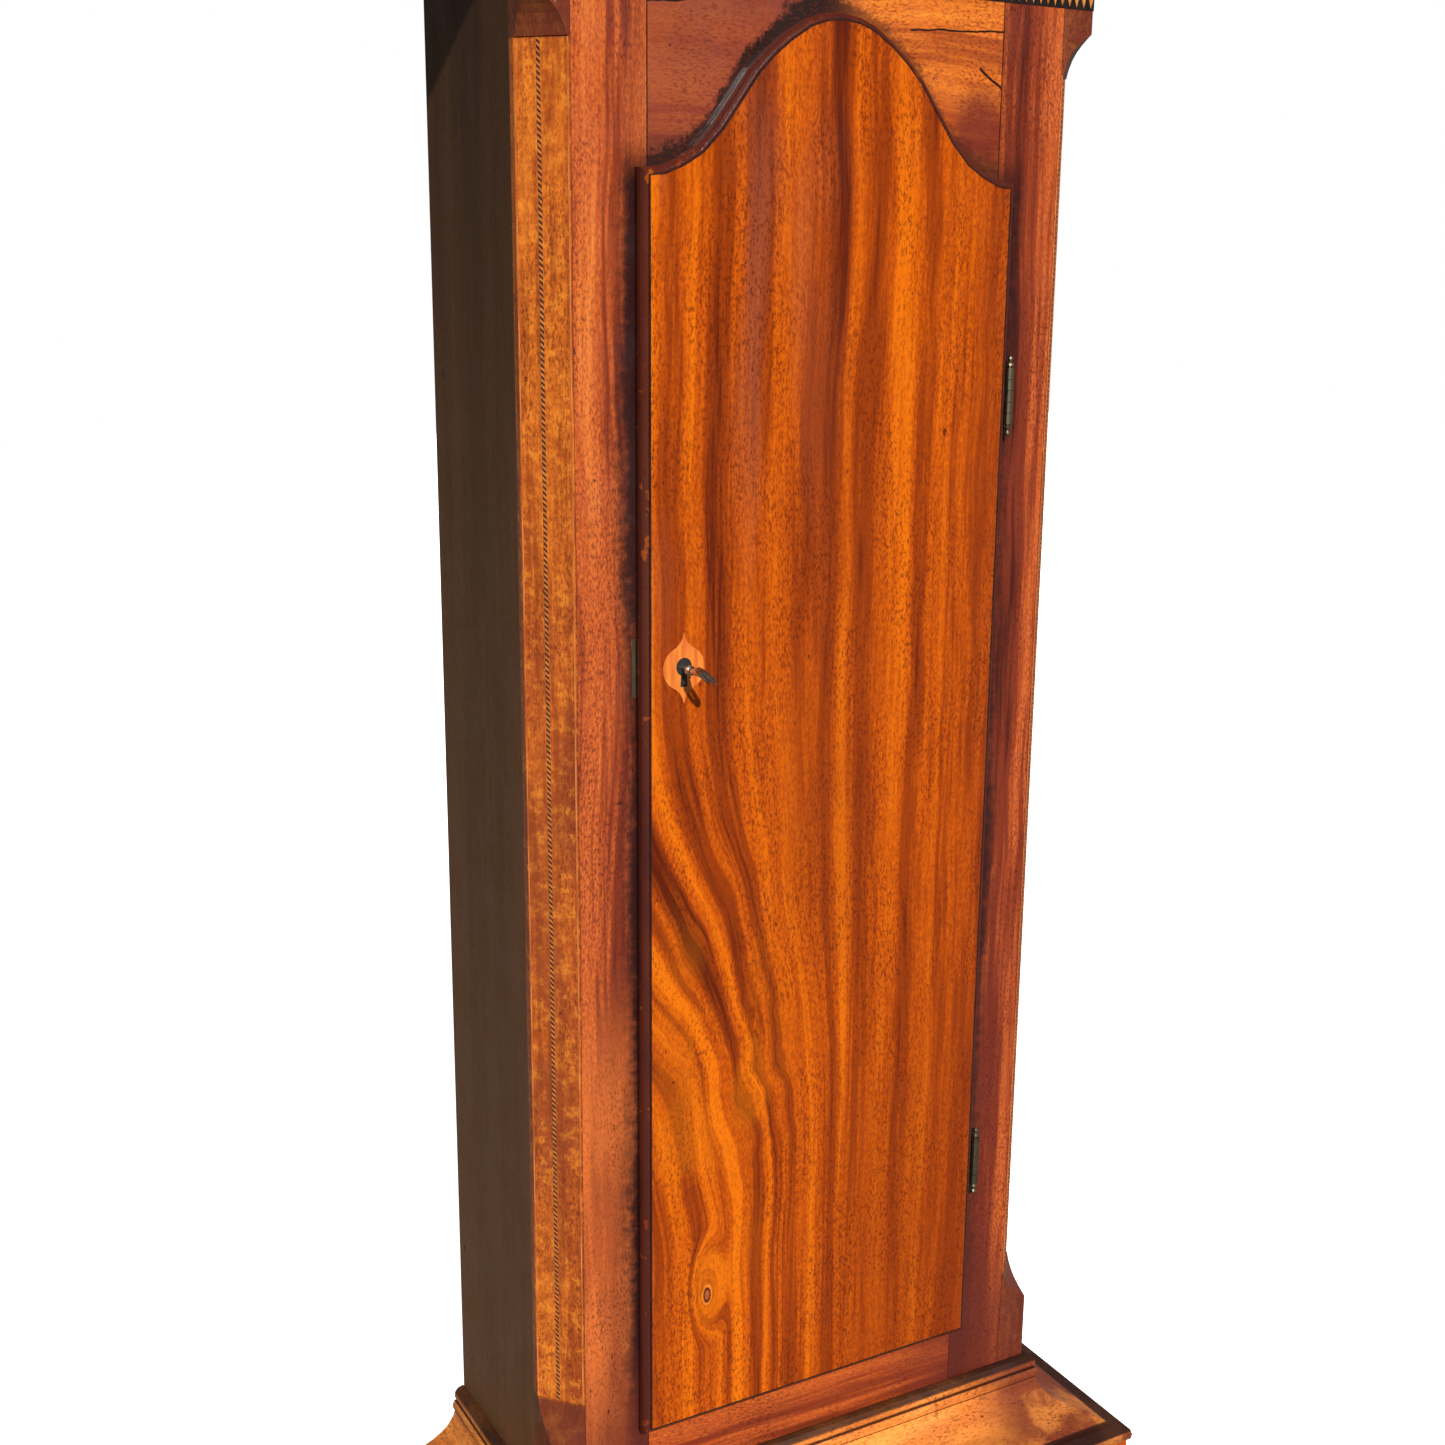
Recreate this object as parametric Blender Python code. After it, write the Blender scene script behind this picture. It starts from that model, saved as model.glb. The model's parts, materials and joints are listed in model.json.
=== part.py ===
"""Longcase clock with an arched brass dial, an eight-day movement and a seconds pendulum.

Metres, +Z up, front faces -Y, origin at the bottom centre of the bounding box.
"""
import math

import bmesh
import bpy
from mathutils import Vector

GAP = 0.0003            # clearance between neighbouring pieces

# Main planes of the case
TRUNK_Y = -0.038        # front face of the trunk
BACK_Y = 0.112          # rear face of the backboard
TRUNK_Z = 0.550         # top of the waist moulding
TRUNK_HALF = 0.178
HOOD_Z = 1.515          # top of the throat moulding
HOOD_Y = TRUNK_Y - 0.045
HOOD_HALF = 0.205

# Trunk front
POST_IN = 0.1568
STILE_IN = 0.1140
FRONT_THICK = 0.020
TRUNK_LOW = TRUNK_Z - 0.075
CHAMFER_X = 0.0208
CHAMFER_Y = 0.0228
CHAMFER_LOW = TRUNK_Z + 0.0675
CHAMFER_HIGH = TRUNK_Z + 0.8445

# Trunk door
DOOR_HALF = 0.121
DOOR_LOW = TRUNK_Z + 0.0386
DOOR_REBATE = 0.0085
DOOR_REAR = TRUNK_Y + 0.015
TOP_CURVE = ((0, 0.8670), (12, 0.8652), (22, 0.8617), (35, 0.8535), (45, 0.8455), (55.5, 0.8350),
             (66, 0.8205), (77, 0.8057), (88, 0.7945), (98.4, 0.7883), (109, 0.7840), (121, 0.7828))
THUMBNAIL = ((0.0, 0.0003), (0.0, 0.0036), (0.0005, 0.0057), (0.0014, 0.0072), (0.0026, 0.0081),
             (0.0036, 0.0084), (0.0041, 0.0084), (0.0045, 0.0092))
HINGE_X = 0.1245
HINGE_Y = TRUNK_Y - 0.0055
HINGE_Z = (TRUNK_Z + 0.1630, TRUNK_Z + 0.66065)
KEY_X = -0.096
KEY_Z = TRUNK_Z + 0.517

# Base
BASE_HALF = 0.231
BASE_Y = TRUNK_Y - 0.053
BASE_TOP = TRUNK_Z - 0.0528
FOOT_TOP = 0.130
PLINTH_TOP = 0.158

# Hood
HOOD_WALL = 0.012
ARCH_Z = 1.850
DOOR_OUT_HALF = 0.172
DOOR_OUT_R = 0.136
DOOR_IN_HALF = 0.1465
DOOR_IN_R = 0.109
CORNICE_LOW = 1.985
CORNICE_TOP = 2.030
HOOD_HINGE_X = DOOR_OUT_HALF
HOOD_HINGE_Y = HOOD_Y - 0.0188

# Movement
CENTRE_Z = 1.7125
FRONT_PLATE = TRUNK_Y + 0.004
BACK_PLATE = TRUNK_Y + 0.074
PLATE_THICK = 0.003
PLATE_HALF = 0.074
PLATE_TOP = 1.8025
SEAT_Z = 1.6003
SEAT_TOP = 1.6223
MAIN_MODULE = 0.0008
CENTRE_MODULE = 0.00085
THIRD_MODULE = 0.0008
BARREL_X = 0.040
BARREL_Z = CENTRE_Z - 0.01143
BARREL_R = 0.0197
THIRD_X = -0.01245
THIRD_Z = CENTRE_Z + 0.02608
ESCAPE_Z = CENTRE_Z + 0.048
ESCAPE_R = 0.020
PALLET_Z = ESCAPE_Z + 0.0283
PENDULUM_Y = TRUNK_Y + 0.100
BOB_Z = PALLET_Z - 0.994
DIAL_Y = TRUNK_Y - 0.030
DIAL_HALF = 0.1525
MINUTE_ANGLE = math.radians(48)
HOUR_ANGLE = math.radians(304)
HAMMER_X = -0.040
HAMMER_Z = PLATE_TOP - 0.020

# Weights
PULLEY_R = 0.0225
PULLEY_Z = 0.490
PULLEY_Y = TRUNK_Y + 0.048
LINE_R = 0.0008
WEIGHT_R = 0.027
GOING_X = BARREL_X - BARREL_R + PULLEY_R
STRIKE_X = -BARREL_X - BARREL_R + PULLEY_R

MAHOGANY = (0.30, 0.085, 0.025)
DARK_WOOD = (0.050, 0.022, 0.012)
OAK = (0.26, 0.14, 0.06)
BRASS = (0.62, 0.43, 0.16)
OLD_BRASS = (0.16, 0.11, 0.05)
STEEL = (0.35, 0.35, 0.36)
BLUE_STEEL = (0.02, 0.025, 0.05)
GUT = (0.55, 0.40, 0.20)
LEAD = (0.12, 0.12, 0.125)
GLASS = (0.80, 0.85, 0.85)


# ---------------------------------------------------------------- helpers

def finish(obj, name, colour, metallic=0.0, rough=0.45, smooth=False, alpha=1.0):
    """Name the piece and give it its own material."""
    obj.name = name
    obj.data.name = name
    material = bpy.data.materials.new(name)
    material.use_nodes = True
    shader = material.node_tree.nodes["Principled BSDF"]
    shader.inputs["Base Color"].default_value = (*colour, 1.0)
    shader.inputs["Metallic"].default_value = metallic
    shader.inputs["Roughness"].default_value = rough
    shader.inputs["Alpha"].default_value = alpha
    obj.data.materials.clear()
    obj.data.materials.append(material)
    for face in obj.data.polygons:
        face.use_smooth = smooth
        face.material_index = 0
    return obj


def solid(verts, faces):
    """Make one closed body with its faces turned outward."""
    mesh = bpy.data.meshes.new("body")
    mesh.from_pydata([tuple(v) for v in verts], [], faces)
    work = bmesh.new()
    work.from_mesh(mesh)
    bmesh.ops.recalc_face_normals(work, faces=work.faces)
    work.to_mesh(mesh)
    work.free()
    obj = bpy.data.objects.new("body", mesh)
    bpy.context.scene.collection.objects.link(obj)
    return obj


def loft(rings, closed=False):
    """Skin a run of rings that have the same number of points."""
    count = len(rings[0])
    verts = [v for ring in rings for v in ring]
    faces = []
    spans = len(rings) if closed else len(rings) - 1
    for i in range(spans):
        near = i * count
        far = ((i + 1) % len(rings)) * count
        for j in range(count):
            k = (j + 1) % count
            faces.append((near + j, near + k, far + k, far + j))
    if not closed:
        faces.append(tuple(range(count)))
        faces.append(tuple(range(len(verts) - count, len(verts))))
    return solid(verts, faces)


def prism(points, axis, low, high):
    """Extrude a flat outline along x, y or z."""
    def place(p, level):
        return {"x": (level, p[0], p[1]), "y": (p[0], level, p[1]), "z": (p[0], p[1], level)}[axis]
    return loft([[place(p, low) for p in points], [place(p, high) for p in points]])


def box(x, y, z):
    return prism(((x[0], y[0]), (x[1], y[0]), (x[1], y[1]), (x[0], y[1])), "z", z[0], z[1])


def circle(radius, count=24):
    return [(2 * math.pi * i / count, radius) for i in range(count)]


def point_on(axis, centre, level, angle, radius):
    """Place a polar point; on the y axis the angle runs clockwise from 12 as seen from the front."""
    if axis == "y":
        return (centre[0] + radius * math.sin(angle), level, centre[1] + radius * math.cos(angle))
    return (centre[0] + radius * math.cos(angle), centre[1] + radius * math.sin(angle), level)


def turned(axis, centre, sections, bored=False):
    """Join polar rings [(level, [(angle, radius), ...])] into one turned or toothed body."""
    verts = []
    starts = []
    for level, ring in sections:
        starts.append(len(verts))
        verts += [point_on(axis, centre, level, a, r) for a, r in ring]
    faces = []
    spans = len(sections) if bored else len(sections) - 1
    for s in range(spans):
        t = (s + 1) % len(sections)
        first, second = sections[s][1], sections[t][1]
        i = j = 0
        while i < len(first) or j < len(second):
            next_i = first[i + 1][0] if i + 1 < len(first) else first[0][0] + 2 * math.pi
            next_j = second[j + 1][0] if j + 1 < len(second) else second[0][0] + 2 * math.pi
            a = starts[s] + i % len(first)
            b = starts[t] + j % len(second)
            if j >= len(second) or (i < len(first) and next_i <= next_j):
                faces.append((a, starts[s] + (i + 1) % len(first), b))
                i += 1
            else:
                faces.append((a, starts[t] + (j + 1) % len(second), b))
                j += 1
    if not bored:
        faces.append(tuple(range(starts[0], starts[0] + len(sections[0][1]))))
        faces.append(tuple(range(starts[-1], len(verts))))
    return solid(verts, faces)


def lathe(axis, centre, profile, count=24, bored=False):
    return turned(axis, centre, [(level, circle(r, count)) for level, r in profile], bored)


def teeth(number, module, phase, root_share, addendum, dedendum):
    """One ring of pointed teeth; a tooth stands centred on the phase angle."""
    pitch = 2 * math.pi / number
    outer = module * (number / 2 + addendum)
    inner = module * (number / 2 - dedendum)
    ring = []
    for i in range(number):
        mid = (phase + i * pitch) % (2 * math.pi)
        for offset, radius in ((-root_share / 2, inner), (0.0, outer), (root_share / 2, inner)):
            ring.append(((mid + offset * pitch) % (2 * math.pi), radius))
    return sorted(ring)


def wheel_teeth(number, module, phase):
    return teeth(number, module, phase, 0.70, 0.85, 1.25)


def pinion_teeth(number, module, phase):
    return teeth(number, module, phase, 0.60, 0.75, 1.25)


def bearing(x, z):
    """Angle, clockwise from 12, of a direction in the dial plane."""
    return math.atan2(x, z)


def combine(target, others, operation):
    """Join or cut with other bodies, then drop them."""
    for other in others:
        modifier = target.modifiers.new("join", "BOOLEAN")
        modifier.operation = operation
        modifier.solver = "EXACT"
        modifier.object = other
    bpy.context.view_layer.update()
    result = bpy.data.meshes.new_from_object(target.evaluated_get(bpy.context.evaluated_depsgraph_get()))
    target.modifiers.clear()
    target.data = result
    for other in others:
        bpy.data.objects.remove(other)
    work = bmesh.new()
    work.from_mesh(result)
    bmesh.ops.remove_doubles(work, verts=work.verts, dist=0.0000002)
    bmesh.ops.recalc_face_normals(work, faces=work.faces)
    work.to_mesh(result)
    work.free()
    return target


def join(target, others):
    return combine(target, others, "UNION")


def cut(target, others):
    return combine(target, others, "DIFFERENCE")


def surround(profile, half, front, back):
    """Run a moulding profile [(out, z), ...] round the left, front and right of the case."""
    stations = (
        [(-half - t, back, z) for t, z in profile],
        [(-half - t, front - t, z) for t, z in profile],
        [(half + t, front - t, z) for t, z in profile],
        [(half + t, back, z) for t, z in profile],
    )
    return loft(stations)


def inset(outline, distance):
    """Move every point of a closed outline inward by a distance."""
    count = len(outline)
    moved = []
    for i, point in enumerate(outline):
        here = Vector(point)
        before = (here - Vector(outline[i - 1])).normalized()
        after = (Vector(outline[(i + 1) % count]) - here).normalized()
        normal = Vector((-before.y - after.y, before.x + after.x)).normalized()
        cosine = max(0.3, normal.dot(Vector((-before.y, before.x))))
        moved.append(tuple(here + normal * distance / cosine))
    return moved


def arched(half, low, shoulder, radius, centre, steps=20):
    """Outline of a rectangle with a round arch on top, anticlockwise from the lower left."""
    start = math.asin((shoulder - centre) / radius)
    points = [(-half, low), (half, low), (half, shoulder)]
    for i in range(steps + 1):
        angle = start + (math.pi - 2 * start) * i / steps
        points.append((radius * math.cos(angle), centre + radius * math.sin(angle)))
    points.append((-half, shoulder))
    return points


# ---------------------------------------------------------------- base

def build_backboard():
    inner = TRUNK_HALF - 0.014 - GAP
    low = BASE_HALF - 0.0145 - GAP
    step = TRUNK_LOW - GAP
    foot = FOOT_TOP + GAP
    outline = ((-low, foot), (low, foot), (low, step), (inner, step), (inner, 1.975),
               (-inner, 1.975), (-inner, step), (-low, step))
    finish(prism(outline, "y", BACK_Y - 0.011, BACK_Y), "backboard", OAK)


def build_base():
    front = (BASE_Y, BASE_Y + 0.015)
    height = (FOOT_TOP + GAP, BASE_TOP)
    finish(box((-BASE_HALF, BASE_HALF), front, height), "base_front_panel", MAHOGANY)
    for side, name in ((-1, "base_left_side"), (1, "base_right_side")):
        span = sorted((side * (BASE_HALF - 0.0145), side * BASE_HALF))
        finish(box(span, (front[1] + GAP, BACK_Y), height), name, DARK_WOOD)


def foot_reach(s):
    """Height of a bracket foot's underside at a distance from its corner."""
    curve = ((0.0, 0.0), (0.052, 0.0), (0.058, 0.022), (0.066, 0.034), (0.072, 0.036),
             (0.082, 0.058), (0.095, 0.078), (0.112, 0.088))
    for (s0, z0), (s1, z1) in zip(curve, curve[1:]):
        if s <= s1:
            return z0 + (z1 - z0) * (s - s0) / (s1 - s0)
    return curve[-1][1]


def foot_out(z):
    """How far the ogee face stands out at a height."""
    return 0.010 + 0.011 * math.sin(math.pi * (z / FOOT_TOP * 1.5 - 0.25)) if z < FOOT_TOP else 0.010


def foot_ring(s, place):
    low = foot_reach(s)
    heights = [low + (FOOT_TOP - low) * i / 9 for i in range(10)]
    ring = [place(foot_out(z), z) for z in heights]
    ring += [place(-0.0005 - 0.020, FOOT_TOP), place(-0.0005 - 0.020, low)]
    return ring


FOOT_STEPS = (0.112, 0.100, 0.088, 0.077, 0.072, 0.066, 0.058, 0.0521, 0.052)


def build_feet():
    for side, name in ((-1, "front_left_foot"), (1, "front_right_foot")):
        rings = []
        for s in FOOT_STEPS:
            rings.append(foot_ring(s, lambda t, z, s=s: (side * (BASE_HALF - s), BASE_Y - t, z)))
        rings.append(foot_ring(0.0, lambda t, z: (side * (BASE_HALF + t), BASE_Y - t, z)))
        for s in reversed(FOOT_STEPS):
            rings.append(foot_ring(s, lambda t, z, s=s: (side * (BASE_HALF + t), BASE_Y + s, z)))
        finish(loft(rings), name, MAHOGANY)
    for side, name in ((-1, "rear_left_foot"), (1, "rear_right_foot")):
        rings = [foot_ring(s, lambda t, z, s=s: (side * (BASE_HALF + t), BACK_Y - s * 0.8, z))
                 for s in (*FOOT_STEPS[::2], 0.0)]
        finish(loft(rings), name, MAHOGANY)


def build_case_mouldings():
    low = FOOT_TOP + GAP
    plinth = ((GAP, low), (0.018, low), (0.019, low + 0.006), (0.018, low + 0.012), (0.014, low + 0.014),
              (0.011, low + 0.018), (0.006, low + 0.024), (0.005, PLINTH_TOP), (GAP, PLINTH_TOP))
    finish(surround(plinth, BASE_HALF, BASE_Y, BACK_Y), "plinth_moulding", MAHOGANY)
    waist = ((GAP, -0.0525), (0.055, -0.0525), (0.0555, -0.0490), (0.0545, -0.0455), (0.0440, -0.0445),
             (0.0440, -0.0430), (0.0341, -0.0389), (0.0235, -0.0344), (0.0181, -0.0313), (0.0127, -0.0273),
             (0.0081, -0.0205), (0.0070, -0.0165), (0.0082, -0.0150), (0.0084, -0.0120), (0.0070, -0.0095),
             (0.0058, -0.0090), (0.0068, -0.0070), (0.0066, -0.0035), (0.0045, -0.0008), (0.0020, 0.0),
             (GAP, 0.0))
    waist = [(t, TRUNK_Z + z) for t, z in waist]
    finish(surround(waist, TRUNK_HALF, TRUNK_Y, BACK_Y), "waist_moulding", MAHOGANY)
    low = TRUNK_Z + 0.890
    throat = ((GAP, low), (0.0060, low), (0.0068, low + 0.0025), (0.0060, low + 0.0050),
              (0.0075, low + 0.0060), (0.0090, low + 0.0160), (0.0130, low + 0.0270),
              (0.0200, low + 0.0370), (0.0300, low + 0.0450), (0.0400, low + 0.0500),
              (0.0400, low + 0.0530), (0.0460, low + 0.0560), (0.0495, low + 0.0630),
              (0.0500, low + 0.0700), (0.0500, HOOD_Z), (GAP, HOOD_Z))
    finish(surround(throat, TRUNK_HALF, TRUNK_Y, BACK_Y), "throat_moulding", MAHOGANY)


# ---------------------------------------------------------------- trunk

def door_curve(x):
    """Height of the bell-shaped top of the door lip."""
    x = abs(x) * 1000
    for (x0, z0), (x1, z1) in zip(TOP_CURVE, TOP_CURVE[1:]):
        if x <= x1:
            return TRUNK_Z + z0 + (z1 - z0) * (x - x0) / (x1 - x0)
    return TRUNK_Z + TOP_CURVE[-1][1]


def door_outline():
    tops = [x / 1000 for x, _ in TOP_CURVE]
    outline = [(-DOOR_HALF, DOOR_LOW), (DOOR_HALF, DOOR_LOW)]
    outline += [(x, door_curve(x)) for x in reversed(tops)]
    outline += [(-x, door_curve(x)) for x in tops[1:]]
    return outline


def build_trunk_sides():
    for side, name in ((-1, "trunk_left_side"), (1, "trunk_right_side")):
        span = sorted((side * (TRUNK_HALF - 0.014), side * TRUNK_HALF))
        front = TRUNK_Y + 0.028 + GAP
        finish(box(span, (front, BACK_Y), (TRUNK_LOW, 1.600)), name, DARK_WOOD)


def post_leg(rise):
    """Share of the chamfer that is left at a height above the start of a stop."""
    curve = ((0.0, 0.95), (0.0055, 0.86), (0.0105, 0.73), (0.0145, 0.57), (0.0180, 0.38),
             (0.0210, 0.18), (0.0232, 0.02))
    for (h0, f0), (h1, f1) in zip(curve, curve[1:]):
        if rise <= h1:
            return f0 + (f1 - f0) * (rise - h0) / (h1 - h0)
    return 0.02


def build_corner_posts():
    top = HOOD_Z - GAP
    rises = (0.0232, 0.0210, 0.0180, 0.0145, 0.0105, 0.0055, 0.0003)
    levels = [(TRUNK_LOW, 0.02)]
    levels += [(CHAMFER_LOW - rise, post_leg(rise)) for rise in rises]
    levels += [(CHAMFER_LOW, 1.0), (CHAMFER_HIGH, 1.0)]
    levels += [(CHAMFER_HIGH + rise, post_leg(rise)) for rise in reversed(rises)]
    levels += [(top, 0.02)]
    for side, name in ((-1, "left_corner_post"), (1, "right_corner_post")):
        rings = []
        for z, leg in levels:
            rings.append([
                (side * POST_IN, TRUNK_Y, z),
                (side * (TRUNK_HALF - CHAMFER_X * leg), TRUNK_Y, z),
                (side * TRUNK_HALF, TRUNK_Y + CHAMFER_Y * leg, z),
                (side * TRUNK_HALF, TRUNK_Y + 0.028, z),
                (side * POST_IN, TRUNK_Y + 0.028, z),
            ])
        finish(loft(rings), name, MAHOGANY)


def build_trunk_front():
    top = HOOD_Z - GAP
    depth = (TRUNK_Y, TRUNK_Y + FRONT_THICK)
    for side, name in ((-1, "left_stile"), (1, "right_stile")):
        span = sorted((side * STILE_IN, side * (POST_IN - GAP)))
        stile = box(span, depth, (TRUNK_LOW, top))
        if side > 0:
            slots = [box((HINGE_X - 0.0009, HINGE_X + 0.0009), (TRUNK_Y - 0.005, TRUNK_Y + 0.0083),
                         (z - 0.0168, z + 0.0168)) for z in HINGE_Z]
            cut(stile, slots)
        finish(stile, name, MAHOGANY)
    inner = STILE_IN - GAP
    tops = [x / 1000 * inner / DOOR_HALF for x, _ in TOP_CURVE]
    lower = [(x, door_curve(x * DOOR_HALF / inner) - 0.0060) for x in tops]
    outline = [(inner, top), (-inner, top)]
    outline += [(-x, z) for x, z in reversed(lower)]
    outline += lower[1:]
    finish(prism(outline, "y", *depth), "trunk_top_rail", MAHOGANY)
    finish(box((-inner, inner), depth, (TRUNK_LOW, DOOR_LOW + 0.007)), "trunk_bottom_rail", MAHOGANY)


def build_trunk_door():
    outline = door_outline()
    levels = [(DOOR_REBATE, DOOR_REAR), (DOOR_REBATE, TRUNK_Y - GAP)]
    levels += [(d, TRUNK_Y - out) for d, out in THUMBNAIL]
    rings = [[(x, y, z) for x, z in inset(outline, d)] for d, y in levels]
    door = loft(rings)
    hole = lathe("y", (KEY_X, KEY_Z), ((TRUNK_Y - 0.02, 0.0030), (TRUNK_Y + 0.02, 0.0030)), 16)
    slot = box((KEY_X - 0.0012, KEY_X + 0.0012), (TRUNK_Y - 0.02, TRUNK_Y + 0.02),
               (KEY_Z - 0.0095, KEY_Z - 0.001))
    recesses = [box((HINGE_X - 0.0108, DOOR_HALF + 0.005), (TRUNK_Y - 0.0020, TRUNK_Y),
                    (z - 0.0102, z + 0.0102)) for z in HINGE_Z]
    finish(cut(door, [join(hole, [slot]), *recesses]), "trunk_door", MAHOGANY)


def build_hinges():
    """Barrel hinges with ball finials: outer and middle knuckles fixed, two between on the door."""
    knuckle, pin = 0.0026, 0.0011
    for z, name in zip(HINGE_Z, ("lower", "upper")):
        edges = [z - 0.0165 + 0.0066 * i for i in range(6)]
        profile = [(z - 0.0238, 0.0006), (z - 0.0230, 0.0016), (z - 0.0218, 0.0019), (z - 0.0206, 0.0012),
                   (z - 0.0200, 0.0011), (z - 0.0192, 0.0022), (z - 0.0180, 0.0025), (z - 0.0168, 0.0014)]
        for i, low in enumerate(edges[:-1]):
            radius = knuckle if i % 2 == 0 else pin
            profile += [(low, radius), (edges[i + 1], radius)]
        profile += [(2 * z - level, r) for level, r in profile[7::-1]]
        fixed = lathe("z", (HINGE_X, HINGE_Y), profile, 10)
        plates = [box((HINGE_X - 0.0006, HINGE_X + 0.0006), (HINGE_Y + 0.001, TRUNK_Y + 0.008),
                      (low, low + 0.0066)) for low in edges[0:5:2]]
        finish(join(fixed, plates), name + "_hinge_fixed_leaf", OLD_BRASS, 1.0, 0.4)
        leaf = box((HINGE_X - 0.0105, HINGE_X - 0.0026), (HINGE_Y + 0.0038, HINGE_Y + 0.0050),
                   (edges[1] + GAP, edges[4] - GAP))
        parts = []
        for i in (1, 3):
            low, high = edges[i] + GAP, edges[i + 1] - GAP
            parts.append(lathe("z", (HINGE_X, HINGE_Y), ((low, 0.0014), (low, knuckle), (high, knuckle),
                                                         (high, 0.0014)), 10, True))
            wing = ((HINGE_X - 0.0019, HINGE_Y + 0.0008), (HINGE_X - 0.0012, HINGE_Y + 0.0018),
                    (HINGE_X - 0.0026, HINGE_Y + 0.0048), (HINGE_X - 0.0033, HINGE_Y + 0.0040))
            parts.append(prism(wing, "z", low, high))
        finish(join(leaf, parts), name + "_hinge_door_leaf", OLD_BRASS, 1.0, 0.4)


def ring_body(centre, radius, tube, tilt, count=18, sides=6):
    """A round ring standing in a plane that holds the y axis."""
    rings = []
    across = Vector((math.cos(tilt), 0.0, math.sin(tilt)))
    normal = Vector((-math.sin(tilt), 0.0, math.cos(tilt)))
    for i in range(count):
        angle = 2 * math.pi * i / count
        spoke = across * math.cos(angle) + Vector((0.0, 1.0, 0.0)) * math.sin(angle)
        ring = []
        for j in range(sides):
            turn = 2 * math.pi * j / sides
            ring.append(Vector(centre) + spoke * (radius + tube * math.cos(turn))
                        + normal * tube * math.sin(turn))
        rings.append(ring)
    return loft(rings, closed=True)


def build_lock():
    rear = TRUNK_Y + 0.0145
    shank = lathe("y", (KEY_X, KEY_Z), ((rear, 0.0017), (TRUNK_Y - 0.0150, 0.0017), (TRUNK_Y - 0.0155, 0.0029),
                                        (TRUNK_Y - 0.0175, 0.0029), (TRUNK_Y - 0.0180, 0.0018),
                                        (TRUNK_Y - 0.0296, 0.0015)), 10)
    bow = ring_body((KEY_X, TRUNK_Y - 0.0352, KEY_Z), 0.0062, 0.0013, math.radians(-47))
    finish(join(shank, [bow]), "door_key", OLD_BRASS, 1.0, 0.4)
    bolt = box((-0.1115, -0.0765), (TRUNK_Y + 0.0206, TRUNK_Y + 0.0240), (KEY_Z - 0.008, KEY_Z + 0.008))
    finish(bolt, "lock_bolt", STEEL, 1.0, 0.4)


# ---------------------------------------------------------------- hood

def build_hood_case():
    low = HOOD_Z + GAP
    base = ((-0.020, low), (0.012, low), (0.014, low + 0.006), (0.013, low + 0.012), (0.008, low + 0.016),
            (0.004, low + 0.024), (0.0035, low + 0.030), (-0.020, low + 0.030))
    finish(surround(base, HOOD_HALF, HOOD_Y, BACK_Y), "hood_base_frame", MAHOGANY)
    inner = HOOD_HALF - HOOD_WALL
    bottom = low + 0.030 + GAP
    for side, name in ((-1, "hood_left_side"), (1, "hood_right_side")):
        outline = ((inner, bottom), (HOOD_HALF, bottom), (HOOD_HALF, CORNICE_LOW),
                   (HOOD_HALF + 0.004, CORNICE_LOW), (HOOD_HALF + 0.005, CORNICE_LOW + 0.006),
                   (HOOD_HALF + 0.008, CORNICE_LOW + 0.016), (HOOD_HALF + 0.015, CORNICE_LOW + 0.025),
                   (HOOD_HALF + 0.022, CORNICE_LOW + 0.030), (HOOD_HALF + 0.023, CORNICE_LOW + 0.036),
                   (HOOD_HALF + 0.027, CORNICE_LOW + 0.040), (HOOD_HALF + 0.027, CORNICE_TOP),
                   (inner, CORNICE_TOP))
        outline = [(side * x, z) for x, z in outline]
        finish(prism(outline, "y", HOOD_Y + GAP, BACK_Y), name, MAHOGANY)
    roof = box((-inner + GAP, inner - GAP), (HOOD_Y + GAP, BACK_Y), (CORNICE_TOP - 0.014, CORNICE_TOP - 0.002))
    finish(roof, "hood_roof", OAK)
    mask = prism(((-inner + GAP, bottom), (inner - GAP, bottom), (inner - GAP, CORNICE_TOP - 0.0145),
                  (-inner + GAP, CORNICE_TOP - 0.0145)), "y", HOOD_Y + GAP, HOOD_Y + 0.006)
    window = prism(arched(0.1480, 1.5645, 1.8610, 0.1105, ARCH_Z), "y", HOOD_Y - 0.01, HOOD_Y + 0.02)
    finish(cut(mask, [window]), "hood_mask", DARK_WOOD)


def swan_line():
    """Centre line of the right swan neck, from the cornice end up to its rosette."""
    points = []
    for i in range(12):
        u = i / 11
        x = HOOD_HALF + 0.0117 - u * (HOOD_HALF + 0.0117 - 0.0627)
        rise = u - math.sin(2 * math.pi * u) / (2 * math.pi)
        points.append((x, CORNICE_TOP - 0.006 + 0.115 * rise))
    return points


def swan_moulding(side):
    """Cornice moulding that follows the swan neck."""
    section = ((-0.010, 0.0), (0.010, 0.0), (0.010, 0.0285), (0.005, 0.0285), (0.002, 0.024),
               (-0.004, 0.018), (-0.010, 0.014))
    line = swan_line()
    rings = []
    for i, (x, z) in enumerate(line):
        x0, z0 = line[max(0, i - 1)]
        x1, z1 = line[min(len(line) - 1, i + 1)]
        length = math.hypot(x1 - x0, z1 - z0)
        up = (abs(x1 - x0) / length, (z1 - z0) / length)
        rings.append([(side * (x + up[1] * h), HOOD_Y - 0.0005 - out, z + up[0] * h) for h, out in section])
    return loft(rings)


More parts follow.
